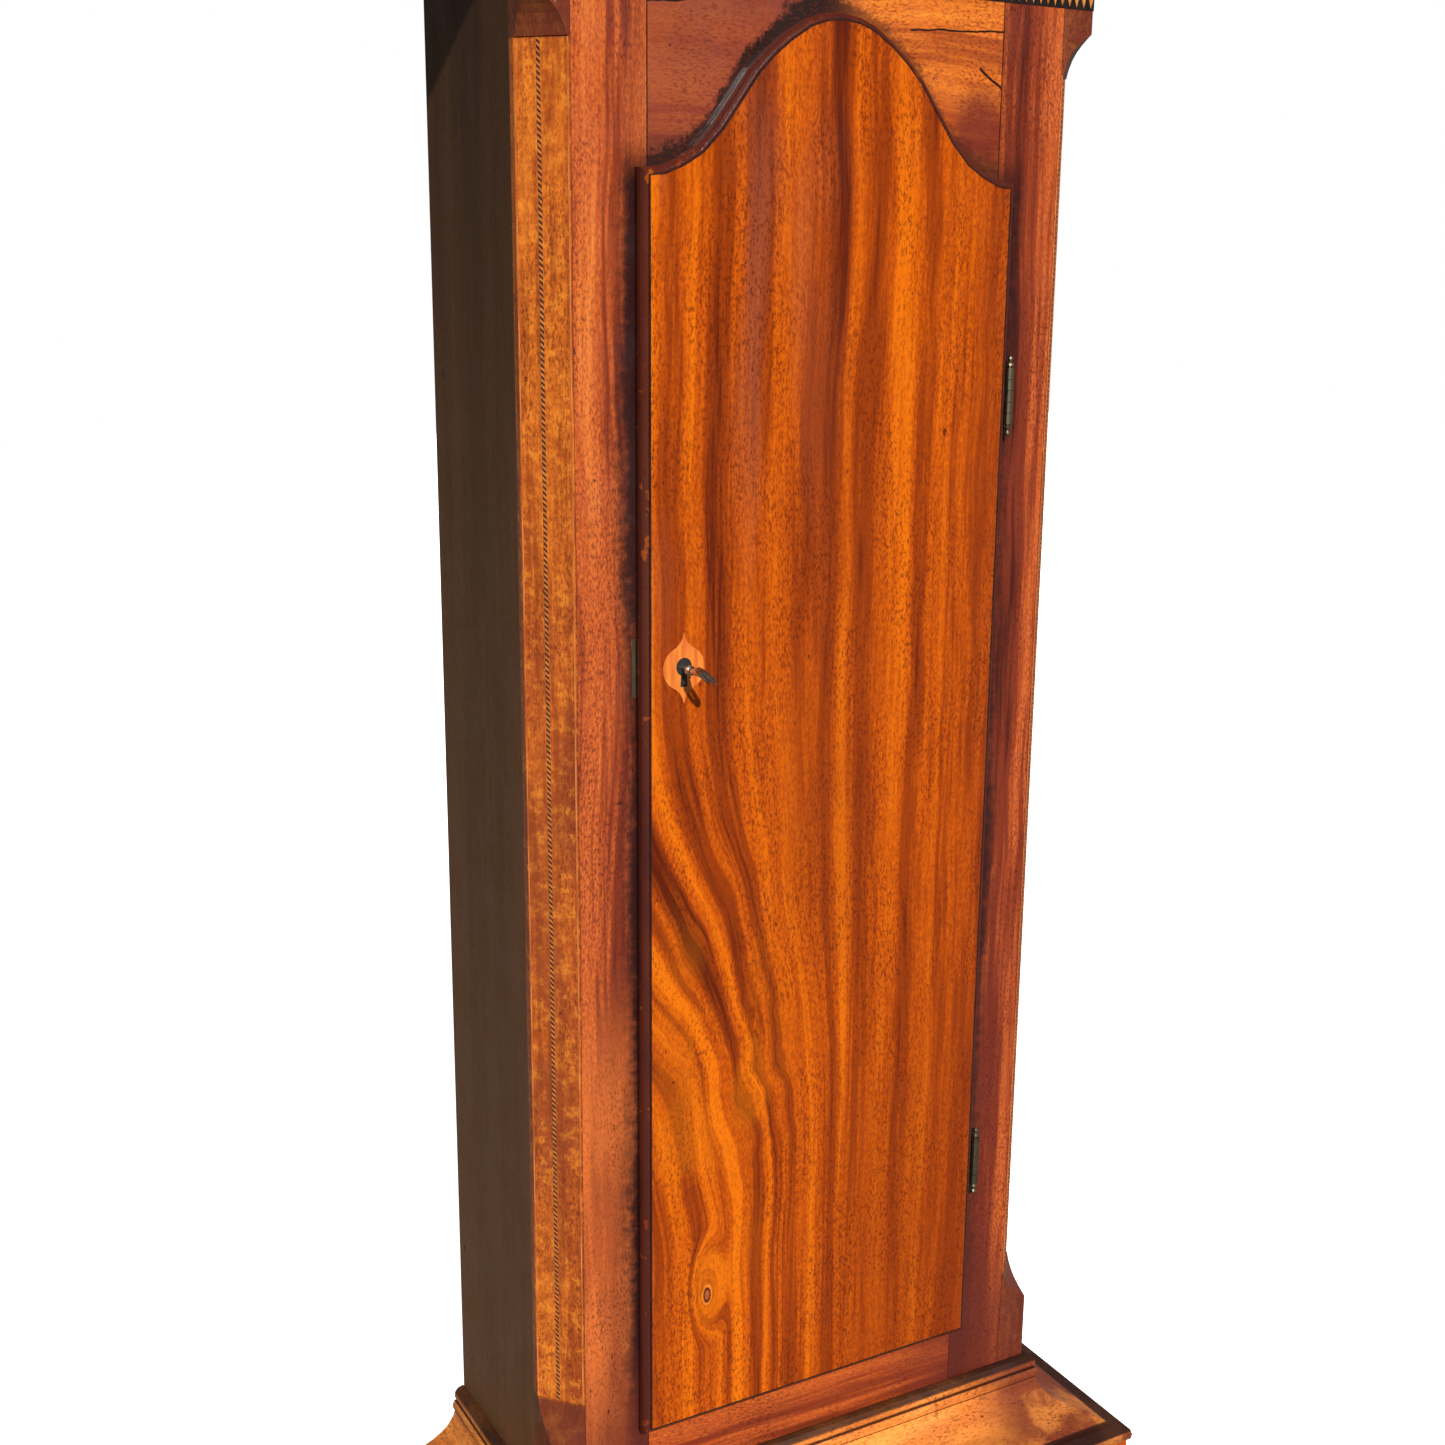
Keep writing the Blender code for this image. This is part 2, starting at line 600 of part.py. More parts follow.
def build_pediment():
    arch_z = DOOR_OUT_R + 0.0015
    shoulder = 1.8875
    start = math.asin((shoulder - ARCH_Z) / arch_z)
    outline = [(HOOD_HALF, shoulder)]
    outline += [(x, z) for x, z in swan_line() if x < HOOD_HALF]
    outline += [(0.050, CORNICE_TOP + 0.080), (0.024, CORNICE_TOP + 0.060), (0.024, CORNICE_TOP + 0.095)]
    outline += [(-x, z) for x, z in reversed(outline)]
    for i in range(17):
        angle = math.pi - start - (math.pi - 2 * start) * i / 16
        outline.append((arch_z * math.cos(angle), ARCH_Z + arch_z * math.sin(angle)))
    board = prism(outline, "y", HOOD_Y - 0.018, HOOD_Y)
    parts = []
    for side in (-1, 1):
        parts.append(swan_moulding(side))
        parts.append(lathe("y", (side * 0.056, CORNICE_TOP + 0.108),
                           ((HOOD_Y - 0.001, 0.020), (HOOD_Y - 0.024, 0.020), (HOOD_Y - 0.027, 0.016),
                            (HOOD_Y - 0.0275, 0.008), (HOOD_Y - 0.0285, 0.004)), 16))
    parts.append(box((-0.026, 0.026), (HOOD_Y - 0.0225, HOOD_Y - 0.0005),
                     (CORNICE_TOP + 0.088, CORNICE_TOP + 0.098)))
    finish(join(board, parts), "hood_pediment", MAHOGANY)


def build_finial():
    low = CORNICE_TOP + 0.0983
    profile = ((0.0, 0.012), (0.010, 0.012), (0.012, 0.006), (0.020, 0.005), (0.026, 0.012),
               (0.034, 0.0180), (0.044, 0.0200), (0.054, 0.0180), (0.062, 0.012), (0.067, 0.006),
               (0.072, 0.008), (0.076, 0.005), (0.094, 0.0028), (0.116, 0.0015), (0.124, 0.0006))
    body = lathe("z", (0.0, HOOD_Y - 0.0085), [(low + h, r) for h, r in profile], 16)
    finish(body, "centre_finial", BRASS, 1.0, 0.3, True)


def build_columns():
    low = HOOD_Z + 0.0309
    high = 1.8872
    for side, name in ((-1, "left_column"), (1, "right_column")):
        profile = ((low, 0.0100), (low + 0.012, 0.0100), (low + 0.013, 0.0088), (low + 0.018, 0.0100),
                   (low + 0.022, 0.0078), (low + 0.026, 0.0074), (high - 0.032, 0.0066),
                   (high - 0.030, 0.0082), (high - 0.026, 0.0082), (high - 0.024, 0.0068),
                   (high - 0.016, 0.0078), (high - 0.010, 0.0100), (high, 0.0100))
        body = lathe("z", (side * 0.1890, HOOD_Y - 0.0105), profile, 14)
        finish(body, name, MAHOGANY, smooth=True)


def build_hood_door():
    low, front, rear = 1.5480, HOOD_Y - 0.0185, HOOD_Y - GAP
    outer = arched(DOOR_OUT_HALF, low, 1.8860, DOOR_OUT_R, ARCH_Z, 24)
    frame = prism(outer, "y", front, rear)
    window = prism(arched(DOOR_IN_HALF, low + 0.024, 1.8580, DOOR_IN_R, ARCH_Z, 24), "y", front - 0.01,
                   rear + 0.01)
    rebate = prism(arched(DOOR_IN_HALF + 0.005, low + 0.019, 1.8630, DOOR_IN_R + 0.005, ARCH_Z, 24), "y",
                   rear - 0.0062, rear + 0.01)
    finish(cut(frame, [window, rebate]), "hood_door_frame", MAHOGANY)
    pane = prism(arched(DOOR_IN_HALF + 0.0045, low + 0.0195, 1.8625, DOOR_IN_R + 0.0045, ARCH_Z, 24), "y",
                 rear - 0.0058, rear - 0.0030)
    finish(pane, "hood_door_glass", GLASS, rough=0.05, alpha=0.35)


# ---------------------------------------------------------------- movement

def drill(x, z, radius, low, high, count=12):
    return lathe("y", (x, z), ((low - 0.004, radius), (high + 0.004, radius)), count)


def build_seatboard():
    board = box((-0.1755, 0.1755), (TRUNK_Y + 0.001, TRUNK_Y + 0.085), (SEAT_Z, SEAT_TOP))
    holes = []
    for x in (GOING_X - PULLEY_R, STRIKE_X - PULLEY_R):
        holes.append(lathe("z", (x, PULLEY_Y), ((SEAT_Z - 0.004, 0.005), (SEAT_TOP + 0.004, 0.005)), 12))
    finish(cut(board, holes), "seatboard", OAK)


def build_plates():
    low, high = FRONT_PLATE, FRONT_PLATE + PLATE_THICK
    bottom = SEAT_TOP + GAP
    front = box((-PLATE_HALF, PLATE_HALF), (low, high), (bottom, PLATE_TOP))
    places = ((0.0, CENTRE_Z, 0.0029), (BARREL_X, BARREL_Z, 0.0046), (-BARREL_X, BARREL_Z, 0.0046),
              (THIRD_X, THIRD_Z, 0.0013), (0.0, ESCAPE_Z, 0.0013), (0.0, PALLET_Z, 0.0013))
    finish(cut(front, [drill(x, z, r, low, high) for x, z, r in places]), "front_plate", BRASS, 1.0, 0.3)
    low, high = BACK_PLATE, BACK_PLATE + PLATE_THICK
    back = box((-PLATE_HALF, PLATE_HALF), (low, high), (bottom, PLATE_TOP))
    parts = []
    for x in (-0.064, 0.064):
        for z in (bottom + 0.012, PLATE_TOP - 0.012):
            parts.append(lathe("y", (x, z), (
                (FRONT_PLATE + PLATE_THICK + GAP, 0.0045), (FRONT_PLATE + 0.010, 0.0045),
                (FRONT_PLATE + 0.013, 0.0032), (FRONT_PLATE + 0.036, 0.0050),
                (BACK_PLATE - 0.007, 0.0032), (BACK_PLATE - 0.004, 0.0045), (BACK_PLATE + 0.0005, 0.0045)), 8))
    parts.append(box((-0.016, 0.016), (high - 0.0005, PENDULUM_Y + 0.006), (PALLET_Z + 0.006, PALLET_Z + 0.012)))
    parts.append(box((0.034, 0.046), (BACK_PLATE - 0.040, high - 0.0005), (PLATE_TOP - 0.0005, PLATE_TOP + 0.003)))
    back = join(back, parts)
    places = ((0.0, CENTRE_Z, 0.0019), (BARREL_X, BARREL_Z, 0.0029), (-BARREL_X, BARREL_Z, 0.0029),
              (THIRD_X, THIRD_Z, 0.0013), (0.0, ESCAPE_Z, 0.0013), (0.0, PALLET_Z, 0.0019))
    finish(cut(back, [drill(x, z, r, low, high) for x, z, r in places]), "back_plate", BRASS, 1.0, 0.3)


def build_train():
    """Going train; every pair is in mesh at rest."""
    y = TRUNK_Y
    to_barrel = bearing(BARREL_X, BARREL_Z - CENTRE_Z)
    to_third = bearing(THIRD_X, THIRD_Z - CENTRE_Z)
    third_to_escape = bearing(-THIRD_X, ESCAPE_Z - THIRD_Z)
    great = wheel_teeth(96, MAIN_MODULE, to_barrel + math.pi)
    sections = ((y + 0.018, circle(0.0044, 16)), (y + 0.018, great), (y + 0.022, great),
                (y + 0.022, circle(0.0044, 16)))
    finish(turned("y", (BARREL_X, BARREL_Z), sections, True), "great_wheel", BRASS, 1.0, 0.3)

    arbor = circle(0.0016, 12)
    thick = circle(0.0026, 12)
    pinion = pinion_teeth(8, MAIN_MODULE, to_barrel + math.pi / 8)
    wheel = wheel_teeth(60, CENTRE_MODULE, to_third)
    sections = ((DIAL_Y - 0.0120, thick), (y + 0.0140, thick), (y + 0.0150, thick), (y + 0.0150, pinion),
                (y + 0.0250, pinion), (y + 0.0250, thick), (y + 0.0670, thick), (y + 0.0670, wheel),
                (y + 0.0690, wheel), (y + 0.0690, thick), (y + 0.0735, thick), (y + 0.0735, arbor),
                (y + 0.0770, arbor))
    finish(turned("y", (0.0, CENTRE_Z), sections), "centre_wheel", BRASS, 1.0, 0.3)

    pivot = circle(0.0010, 12)
    pinion = pinion_teeth(8, CENTRE_MODULE, to_third + math.pi + math.pi / 8)
    wheel = wheel_teeth(56, THIRD_MODULE, third_to_escape)
    sections = ((y + 0.0042, pivot), (y + 0.0075, pivot), (y + 0.0075, arbor), (y + 0.0300, arbor),
                (y + 0.0300, wheel), (y + 0.0320, wheel), (y + 0.0320, arbor), (y + 0.0645, arbor),
                (y + 0.0645, pinion), (y + 0.0715, pinion), (y + 0.0715, arbor), (y + 0.0735, arbor),
                (y + 0.0735, pivot), (y + 0.0768, pivot))
    finish(turned("y", (THIRD_X, THIRD_Z), sections), "third_wheel", BRASS, 1.0, 0.3)

    pinion = pinion_teeth(7, THIRD_MODULE, third_to_escape + math.pi + math.pi / 7)
    hook = []
    for i in range(30):
        mid = 2 * math.pi * i / 30
        for offset, radius in ((0.0, ESCAPE_R - 0.0042), (0.035, ESCAPE_R), (0.043, ESCAPE_R),
                               (0.150, ESCAPE_R - 0.0042)):
            hook.append((mid + offset, radius))
    hand = [(a, 0.0035) for a, _ in circle(1.0, 12)]
    hand = [(0.0, 0.0240), (0.06, 0.0090), (0.35, 0.0030)] + hand[1:-1] + [(2 * math.pi - 0.35, 0.0030),
                                                                       (2 * math.pi - 0.06, 0.0090)]
    sections = ((DIAL_Y - 0.0025, hand), (DIAL_Y - 0.0018, hand), (DIAL_Y - 0.0018, pivot),
                (y + 0.0075, pivot), (y + 0.0075, arbor), (y + 0.0280, arbor), (y + 0.0280, pinion),
                (y + 0.0340, pinion), (y + 0.0340, arbor), (y + 0.0500, arbor), (y + 0.0500, hook),
                (y + 0.0515, hook), (y + 0.0515, arbor), (y + 0.0735, arbor), (y + 0.0735, pivot),
                (y + 0.0768, pivot))
    finish(turned("y", (0.0, ESCAPE_Z), sections), "escape_wheel", BRASS, 1.0, 0.3)


def build_hands():
    def blade(angle, length, width, tail, hub, y):
        """A pierced-look hand as one flat outline round a bored hub."""
        across = (math.cos(angle), -math.sin(angle))
        along = (math.sin(angle), math.cos(angle))
        shape = ((hub * 0.8, hub * 0.5), (length * 0.45, width * 0.35), (length * 0.55, width),
                 (length * 0.66, width * 0.9), (length * 0.78, width * 0.4), (length, 0.0004))
        right = [(w, d) for d, w in shape]
        left = [(-w, d) for d, w in reversed(shape)]
        bottom = [(-hub * 0.9, tail), (-hub * 0.5, -hub * 0.9), (hub * 0.5, -hub * 0.9), (hub * 0.9, tail)]
        outline = [(a * across[0] + b * along[0], CENTRE_Z + a * across[1] + b * along[1])
                   for a, b in right + left + bottom]
        return prism(outline, "y", y - 0.0009, y)
    minute = blade(MINUTE_ANGLE, 0.134, 0.0060, 0.0, 0.0075, DIAL_Y - 0.0095)
    hole = drill(0.0, CENTRE_Z, 0.0029, DIAL_Y - 0.012, DIAL_Y)
    finish(cut(minute, [hole]), "minute_hand", BLUE_STEEL, 1.0, 0.3)
    hour = blade(HOUR_ANGLE, 0.090, 0.0115, 0.0, 0.0095, DIAL_Y - 0.0055)
    pipe = lathe("y", (0.0, CENTRE_Z), ((DIAL_Y - 0.0058, 0.0052), (FRONT_PLATE - 0.004, 0.0052)), 20)
    hole = drill(0.0, CENTRE_Z, 0.0030, DIAL_Y - 0.012, FRONT_PLATE)
    finish(cut(join(hour, [pipe]), [hole]), "hour_hand", BLUE_STEEL, 1.0, 0.3)


def build_escapement():
    y = TRUNK_Y
    reach = ESCAPE_R + 0.0022
    drop = PALLET_Z - ESCAPE_Z
    tip_x = reach * math.sin(math.radians(45)) + 0.0003
    tip_z = ESCAPE_Z + reach * math.cos(math.radians(45)) + 0.0003
    upper = ((0.0, PALLET_Z + 0.005), (0.008, PALLET_Z + 0.0035), (tip_x + 0.0028, tip_z + 0.004),
             (tip_x + 0.0016, tip_z - 0.0022), (tip_x, tip_z), (tip_x - 0.0022, tip_z + 0.0052),
             (0.0065, PALLET_Z - drop * 0.14), (0.0, PALLET_Z - 0.0035))
    outline = list(upper) + [(-x, z) for x, z in reversed(upper[1:-1])]
    anchor = prism(outline, "y", y + 0.0480, y + 0.0540)
    arbor = lathe("y", (0.0, PALLET_Z), ((y + 0.0042, 0.0010), (y + 0.0075, 0.0010), (y + 0.0075, 0.0016),
                                         (y + 0.0840, 0.0016)), 12)
    stem = box((-0.0018, 0.0018), (y + 0.0815, y + 0.0835), (PALLET_Z - 0.075, PALLET_Z))
    fork = box((-0.0060, 0.0060), (y + 0.0815, y + 0.0835), (PALLET_Z - 0.080, PALLET_Z - 0.074))
    prongs = [box((x - 0.0012, x + 0.0012), (y + 0.0820, PENDULUM_Y + 0.003), (PALLET_Z - 0.0795, PALLET_Z - 0.0750))
              for x in (-0.0043, 0.0043)]
    finish(join(anchor, [arbor, stem, fork] + prongs), "pallets", STEEL, 1.0, 0.3)


def build_pendulum():
    rod = lathe("z", (0.0, PENDULUM_Y), ((BOB_Z - 0.090, 0.0022), (BOB_Z - 0.072, 0.0022),
                                         (BOB_Z - 0.072, 0.0075), (BOB_Z - 0.066, 0.0075),
                                         (BOB_Z - 0.066, 0.0022), (PALLET_Z - 0.030, 0.0022),
                                         (PALLET_Z - 0.030, 0.0009), (PALLET_Z + 0.0057, 0.0009)), 12)
    finish(rod, "pendulum_rod", STEEL, 1.0, 0.35)
    profile = [(PENDULUM_Y - 0.0125, 0.006), (PENDULUM_Y - 0.0118, 0.020), (PENDULUM_Y - 0.0090, 0.038),
               (PENDULUM_Y - 0.0050, 0.050), (PENDULUM_Y - 0.0012, 0.055)]
    profile += [(2 * PENDULUM_Y - level, r) for level, r in reversed(profile)]
    bob = lathe("y", (0.0, BOB_Z), profile, 28)
    slot = lathe("z", (0.0, PENDULUM_Y), ((BOB_Z - 0.060, 0.0026), (BOB_Z + 0.060, 0.0026)), 12)
    finish(cut(bob, [slot]), "pendulum_bob", BRASS, 1.0, 0.3, False)


def build_barrels():
    y = TRUNK_Y
    square = [(math.pi / 4 + math.pi / 2 * i, 0.0048) for i in range(4)]
    rim = 0.0228
    for x, name in ((BARREL_X, "going_barrel"), (-BARREL_X, "strike_barrel")):
        core = circle(BARREL_R - LINE_R, 24)
        flange = circle(rim, 24)
        thick = circle(0.0040, 12)
        thin = circle(0.0026, 12)
        middle = [] if x > 0 else [(y + 0.0180, thick)]
        if x < 0:
            wheel = wheel_teeth(60, MAIN_MODULE, 0.0)
            middle += [(y + 0.0180, wheel), (y + 0.0220, wheel), (y + 0.0220, thick)]
        sections = [(DIAL_Y - 0.0035, square), (DIAL_Y + 0.0150, square), (DIAL_Y + 0.0150, thick)]
        sections += middle
        sections += [(y + 0.0260, thick), (y + 0.0260, flange), (y + 0.0280, flange), (y + 0.0280, core),
                     (y + 0.0620, core), (y + 0.0620, flange), (y + 0.0640, flange), (y + 0.0640, thick),
                     (y + 0.0735, thick), (y + 0.0735, thin), (y + 0.0768, thin)]
        finish(turned("y", (x, BARREL_Z), sections), name, BRASS, 1.0, 0.3)


def build_weights():
    for x, tag in ((GOING_X, "going"), (STRIKE_X, "strike")):
        axle = PULLEY_Z
        profile = ((axle - 0.270, 0.0250), (axle - 0.268, WEIGHT_R), (axle - 0.056, WEIGHT_R),
                   (axle - 0.051, 0.0230), (axle - 0.050, 0.0180), (axle - 0.050, 0.0032),
                   (axle - 0.0270, 0.0032))
        body = lathe("z", (x, PULLEY_Y), profile, 24)
        parts = [box((x - 0.006, x + 0.006), (PULLEY_Y - 0.0075, PULLEY_Y + 0.0075),
                     (axle - 0.0300, axle - 0.0262))]
        for side in (-1, 1):
            span = sorted((PULLEY_Y + side * 0.0056, PULLEY_Y + side * 0.0075))
            parts.append(box((x - 0.0045, x + 0.0045), span, (axle - 0.0290, axle + 0.0060)))
        parts.append(lathe("y", (x, axle), ((PULLEY_Y - 0.0085, 0.0018), (PULLEY_Y + 0.0085, 0.0018)), 12))
        finish(join(body, parts), tag + "_weight", LEAD, 0.6, 0.5)
        groove = PULLEY_R - LINE_R - GAP
        y = PULLEY_Y
        profile = ((y - 0.0050, 0.0022), (y - 0.0050, 0.0245), (y - 0.0034, 0.0245), (y - 0.0014, groove),
                   (y + 0.0014, groove), (y + 0.0034, 0.0245), (y + 0.0050, 0.0245), (y + 0.0050, 0.0022))
        finish(lathe("y", (x, axle), profile, 20, True), tag + "_pulley", BRASS, 1.0, 0.3)
        rings = []
        path = [(x - PULLEY_R, SEAT_Z - GAP, 0.0, 1.0)]
        for i in range(13):
            angle = math.pi * i / 12
            path.append((x - PULLEY_R * math.cos(angle), axle - PULLEY_R * math.sin(angle),
                         math.sin(angle), -math.cos(angle)))
        path[0] = (path[0][0], path[0][1], 0.0, -1.0)
        path.append((x + PULLEY_R, SEAT_Z - GAP, 0.0, 1.0))
        for px, pz, dx, dz in path:
            ring = []
            for j in range(6):
                turn = 2 * math.pi * j / 6
                side = LINE_R * math.cos(turn)
                ring.append((px - dz * side, PULLEY_Y + LINE_R * math.sin(turn), pz + dx * side))
            rings.append(ring)
        finish(loft(rings), tag + "_line", GUT)


def build_dial():
    outline = arched(DIAL_HALF, 1.5600, 1.8650, 0.1150, ARCH_Z, 24)
    plate = prism(outline, "y", DIAL_Y, DIAL_Y + 0.002)
    holes = [drill(x, z, r, DIAL_Y, DIAL_Y + 0.002) for x, z, r in
             ((0.0, CENTRE_Z, 0.0060), (BARREL_X, BARREL_Z, 0.0060), (-BARREL_X, BARREL_Z, 0.0060),
              (0.0, ESCAPE_Z, 0.0014))]
    finish(cut(plate, holes), "dial", BRASS, 1.0, 0.35)


def build_bell():
    x, y = 0.040, BACK_PLATE - 0.034
    low = PLATE_TOP + 0.0033
    profile = ((low, 0.0030), (low + 0.0390, 0.0030), (low + 0.0390, 0.0140), (low + 0.0360, 0.0280),
               (low + 0.0280, 0.0400), (low + 0.0170, 0.0460), (low + 0.0080, 0.0490),
               (low + 0.0080, 0.0520), (low + 0.0190, 0.0490), (low + 0.0300, 0.0430),
               (low + 0.0390, 0.0300), (low + 0.0420, 0.0150), (low + 0.0425, 0.0050),
               (low + 0.0470, 0.0045), (low + 0.0475, 0.0020))
    finish(lathe("z", (x, y), profile, 22), "bell", BRASS, 1.0, 0.25, True)
    pivot_x, pivot_z = HAMMER_X, HAMMER_Z
    arbor = lathe("y", (pivot_x, pivot_z), ((FRONT_PLATE + 0.0035, 0.0016), (BACK_PLATE - GAP, 0.0016)), 12)
    slope = ((pivot_x - 0.0012, pivot_z), (pivot_x + 0.0012, pivot_z), (pivot_x + 0.0170, PLATE_TOP + 0.018),
             (pivot_x + 0.0146, PLATE_TOP + 0.018))
    stem = prism(slope, "y", y - 0.0010, y + 0.0010)
    head = lathe("y", (pivot_x + 0.0170, PLATE_TOP + 0.0200), ((y - 0.006, 0.0045), (y + 0.006, 0.0045)), 16)
    finish(join(arbor, [stem, head]), "hammer", STEEL, 1.0, 0.35)


def carry(name, point, nodes):
    """Parent the pieces of one moving body to an empty on its joint's axis."""
    pivot = bpy.data.objects.new(name + "_pivot", None)
    bpy.context.scene.collection.objects.link(pivot)
    pivot.location = point
    for node in nodes:
        piece = bpy.data.objects[node]
        piece.parent = pivot
        piece.location = -Vector(point)


def carry_moving_bodies():
    door = [tag + "_hinge_door_leaf" for tag in ("upper", "lower")]
    hood = ["hood_base_frame", "hood_left_side", "hood_right_side", "hood_pediment", "hood_mask",
            "hood_roof", "centre_finial", "left_column", "right_column"]
    mid_y = (FRONT_PLATE + BACK_PLATE) / 2
    carry("trunk_door", (HINGE_X, HINGE_Y, DOOR_LOW), ["trunk_door", *door])
    carry("key", (KEY_X, TRUNK_Y, KEY_Z), ["door_key"])
    carry("bolt", (KEY_X, TRUNK_Y, KEY_Z), ["lock_bolt"])
    carry("hood", (0.0, HOOD_Y, HOOD_Z), hood)
    carry("hood_door", (HOOD_HINGE_X, HOOD_HINGE_Y, HOOD_Z), ["hood_door_frame", "hood_door_glass"])
    carry("centre_arbor", (0.0, mid_y, CENTRE_Z), ["centre_wheel", "minute_hand"])
    carry("hour_pipe", (0.0, mid_y, CENTRE_Z), ["hour_hand"])
    carry("great_arbor", (BARREL_X, mid_y, BARREL_Z), ["great_wheel"])
    carry("third_arbor", (THIRD_X, mid_y, THIRD_Z), ["third_wheel"])
    carry("escape_arbor", (0.0, mid_y, ESCAPE_Z), ["escape_wheel"])
    carry("anchor", (0.0, mid_y, PALLET_Z), ["pallets"])
    carry("pendulum", (0.0, PENDULUM_Y, PALLET_Z), ["pendulum_rod", "pendulum_bob"])
    carry("hammer", (HAMMER_X, mid_y, HAMMER_Z), ["hammer"])
    for tag, barrel_x, weight_x in (("going", BARREL_X, GOING_X), ("strike", -BARREL_X, STRIKE_X)):
        carry(tag + "_barrel", (barrel_x, mid_y, BARREL_Z), [tag + "_barrel"])
        carry(tag + "_weight", (weight_x, PULLEY_Y, PULLEY_Z), [tag + "_weight", tag + "_line"])
        carry(tag + "_pulley", (weight_x, PULLEY_Y, PULLEY_Z), [tag + "_pulley"])


def main():
    for obj in list(bpy.data.objects):
        bpy.data.objects.remove(obj)
    build_backboard()
    build_base()
    build_feet()
    build_case_mouldings()
    build_trunk_sides()
    build_corner_posts()
    build_trunk_front()
    build_trunk_door()
    build_hinges()
    build_lock()
    build_hood_case()
    build_pediment()
    build_finial()
    build_columns()
    build_hood_door()
    build_seatboard()
    build_plates()
    build_train()
    build_hands()
    build_escapement()
    build_pendulum()
    build_barrels()
    build_weights()
    build_dial()
    build_bell()
    carry_moving_bodies()


main()
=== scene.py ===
"""Looks of the longcase clock: procedural timber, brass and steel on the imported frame."""

import json
from math import atan2, cos, degrees, hypot, pi, radians, sin

import bmesh
import bpy
from mathutils import Matrix, Vector


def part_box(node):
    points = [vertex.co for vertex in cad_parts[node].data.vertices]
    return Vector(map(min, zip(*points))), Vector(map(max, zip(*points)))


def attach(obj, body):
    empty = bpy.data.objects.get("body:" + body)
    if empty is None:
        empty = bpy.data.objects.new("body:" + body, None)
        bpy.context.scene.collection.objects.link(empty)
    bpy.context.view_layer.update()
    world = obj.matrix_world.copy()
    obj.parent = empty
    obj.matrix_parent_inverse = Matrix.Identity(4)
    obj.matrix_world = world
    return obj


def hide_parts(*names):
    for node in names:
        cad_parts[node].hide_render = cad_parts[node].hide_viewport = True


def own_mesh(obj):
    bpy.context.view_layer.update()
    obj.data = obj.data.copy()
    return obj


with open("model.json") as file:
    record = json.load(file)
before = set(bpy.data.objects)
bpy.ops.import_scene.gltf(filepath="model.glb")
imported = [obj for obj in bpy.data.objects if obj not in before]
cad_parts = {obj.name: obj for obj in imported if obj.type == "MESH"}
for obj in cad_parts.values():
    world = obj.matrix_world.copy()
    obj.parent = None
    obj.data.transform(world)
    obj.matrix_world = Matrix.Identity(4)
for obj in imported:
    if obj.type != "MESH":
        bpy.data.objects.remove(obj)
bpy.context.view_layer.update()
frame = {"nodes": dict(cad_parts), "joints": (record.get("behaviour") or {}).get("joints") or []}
NODES = frame["nodes"]

# Driving places, read from the frame
TRUNK_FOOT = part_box("waist_moulding")[1].z
TRUNK_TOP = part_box("throat_moulding")[0].z
TRUNK_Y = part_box("left_stile")[0].y
TRUNK_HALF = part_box("right_corner_post")[1].x
DOOR_LOW, DOOR_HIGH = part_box("trunk_door")
DIAL_Y, DIAL_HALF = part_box("dial")[0].y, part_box("dial")[1].x
JOINTS = {joint["name"]: joint for joint in frame["joints"]}
CENTRE_Z = JOINTS["minute_arbor"]["pos_m"][2]
SECONDS_Z = JOINTS["escape_arbor_spin"]["pos_m"][2]
SIDES = ((-1, "left"), (1, "right"))
KNOT = (-0.0786, TRUNK_FOOT + 0.1241)
# Centre, half width and strength of the door's broad stripes, across the grain
DOOR_STRIPES = ((-0.002, 0.0075, -0.12), (0.01, 0.005, 0.07), (-0.048, 0.011, -0.05), (-0.064, 0.006, 0.06),
                (-0.078, 0.006, -0.06), (-0.092, 0.005, 0.09), (-0.106, 0.006, -0.07),
                (-0.117, 0.005, 0.08), (-0.134, 0.01, -0.12), (-0.15, 0.005, 0.05), (-0.166, 0.008, 0.13),
                (-0.18, 0.0045, -0.1), (-0.194, 0.007, 0.12), (-0.21, 0.006, -0.06), (0.06, 0.008, -0.07),
                (0.078, 0.003, 0.08), (0.1, 0.01, -0.06))


# ------ node helpers

class Value:
    """A number worked out by a node; arithmetic on it adds math nodes."""

    def __init__(self, t, socket):
        self.t = t
        self.socket = socket

    def __add__(self, other):
        return self.t.math("ADD", self, other)

    def __sub__(self, other):
        return self.t.math("SUBTRACT", self, other)

    def __rsub__(self, other):
        return self.t.math("SUBTRACT", other, self)

    def __mul__(self, other):
        return self.t.math("MULTIPLY", self, other)

    def __truediv__(self, other):
        return self.t.math("DIVIDE", self, other)

    def __pow__(self, other):
        return self.t.math("POWER", self, other)

    def __abs__(self):
        return self.t.math("ABSOLUTE", self)


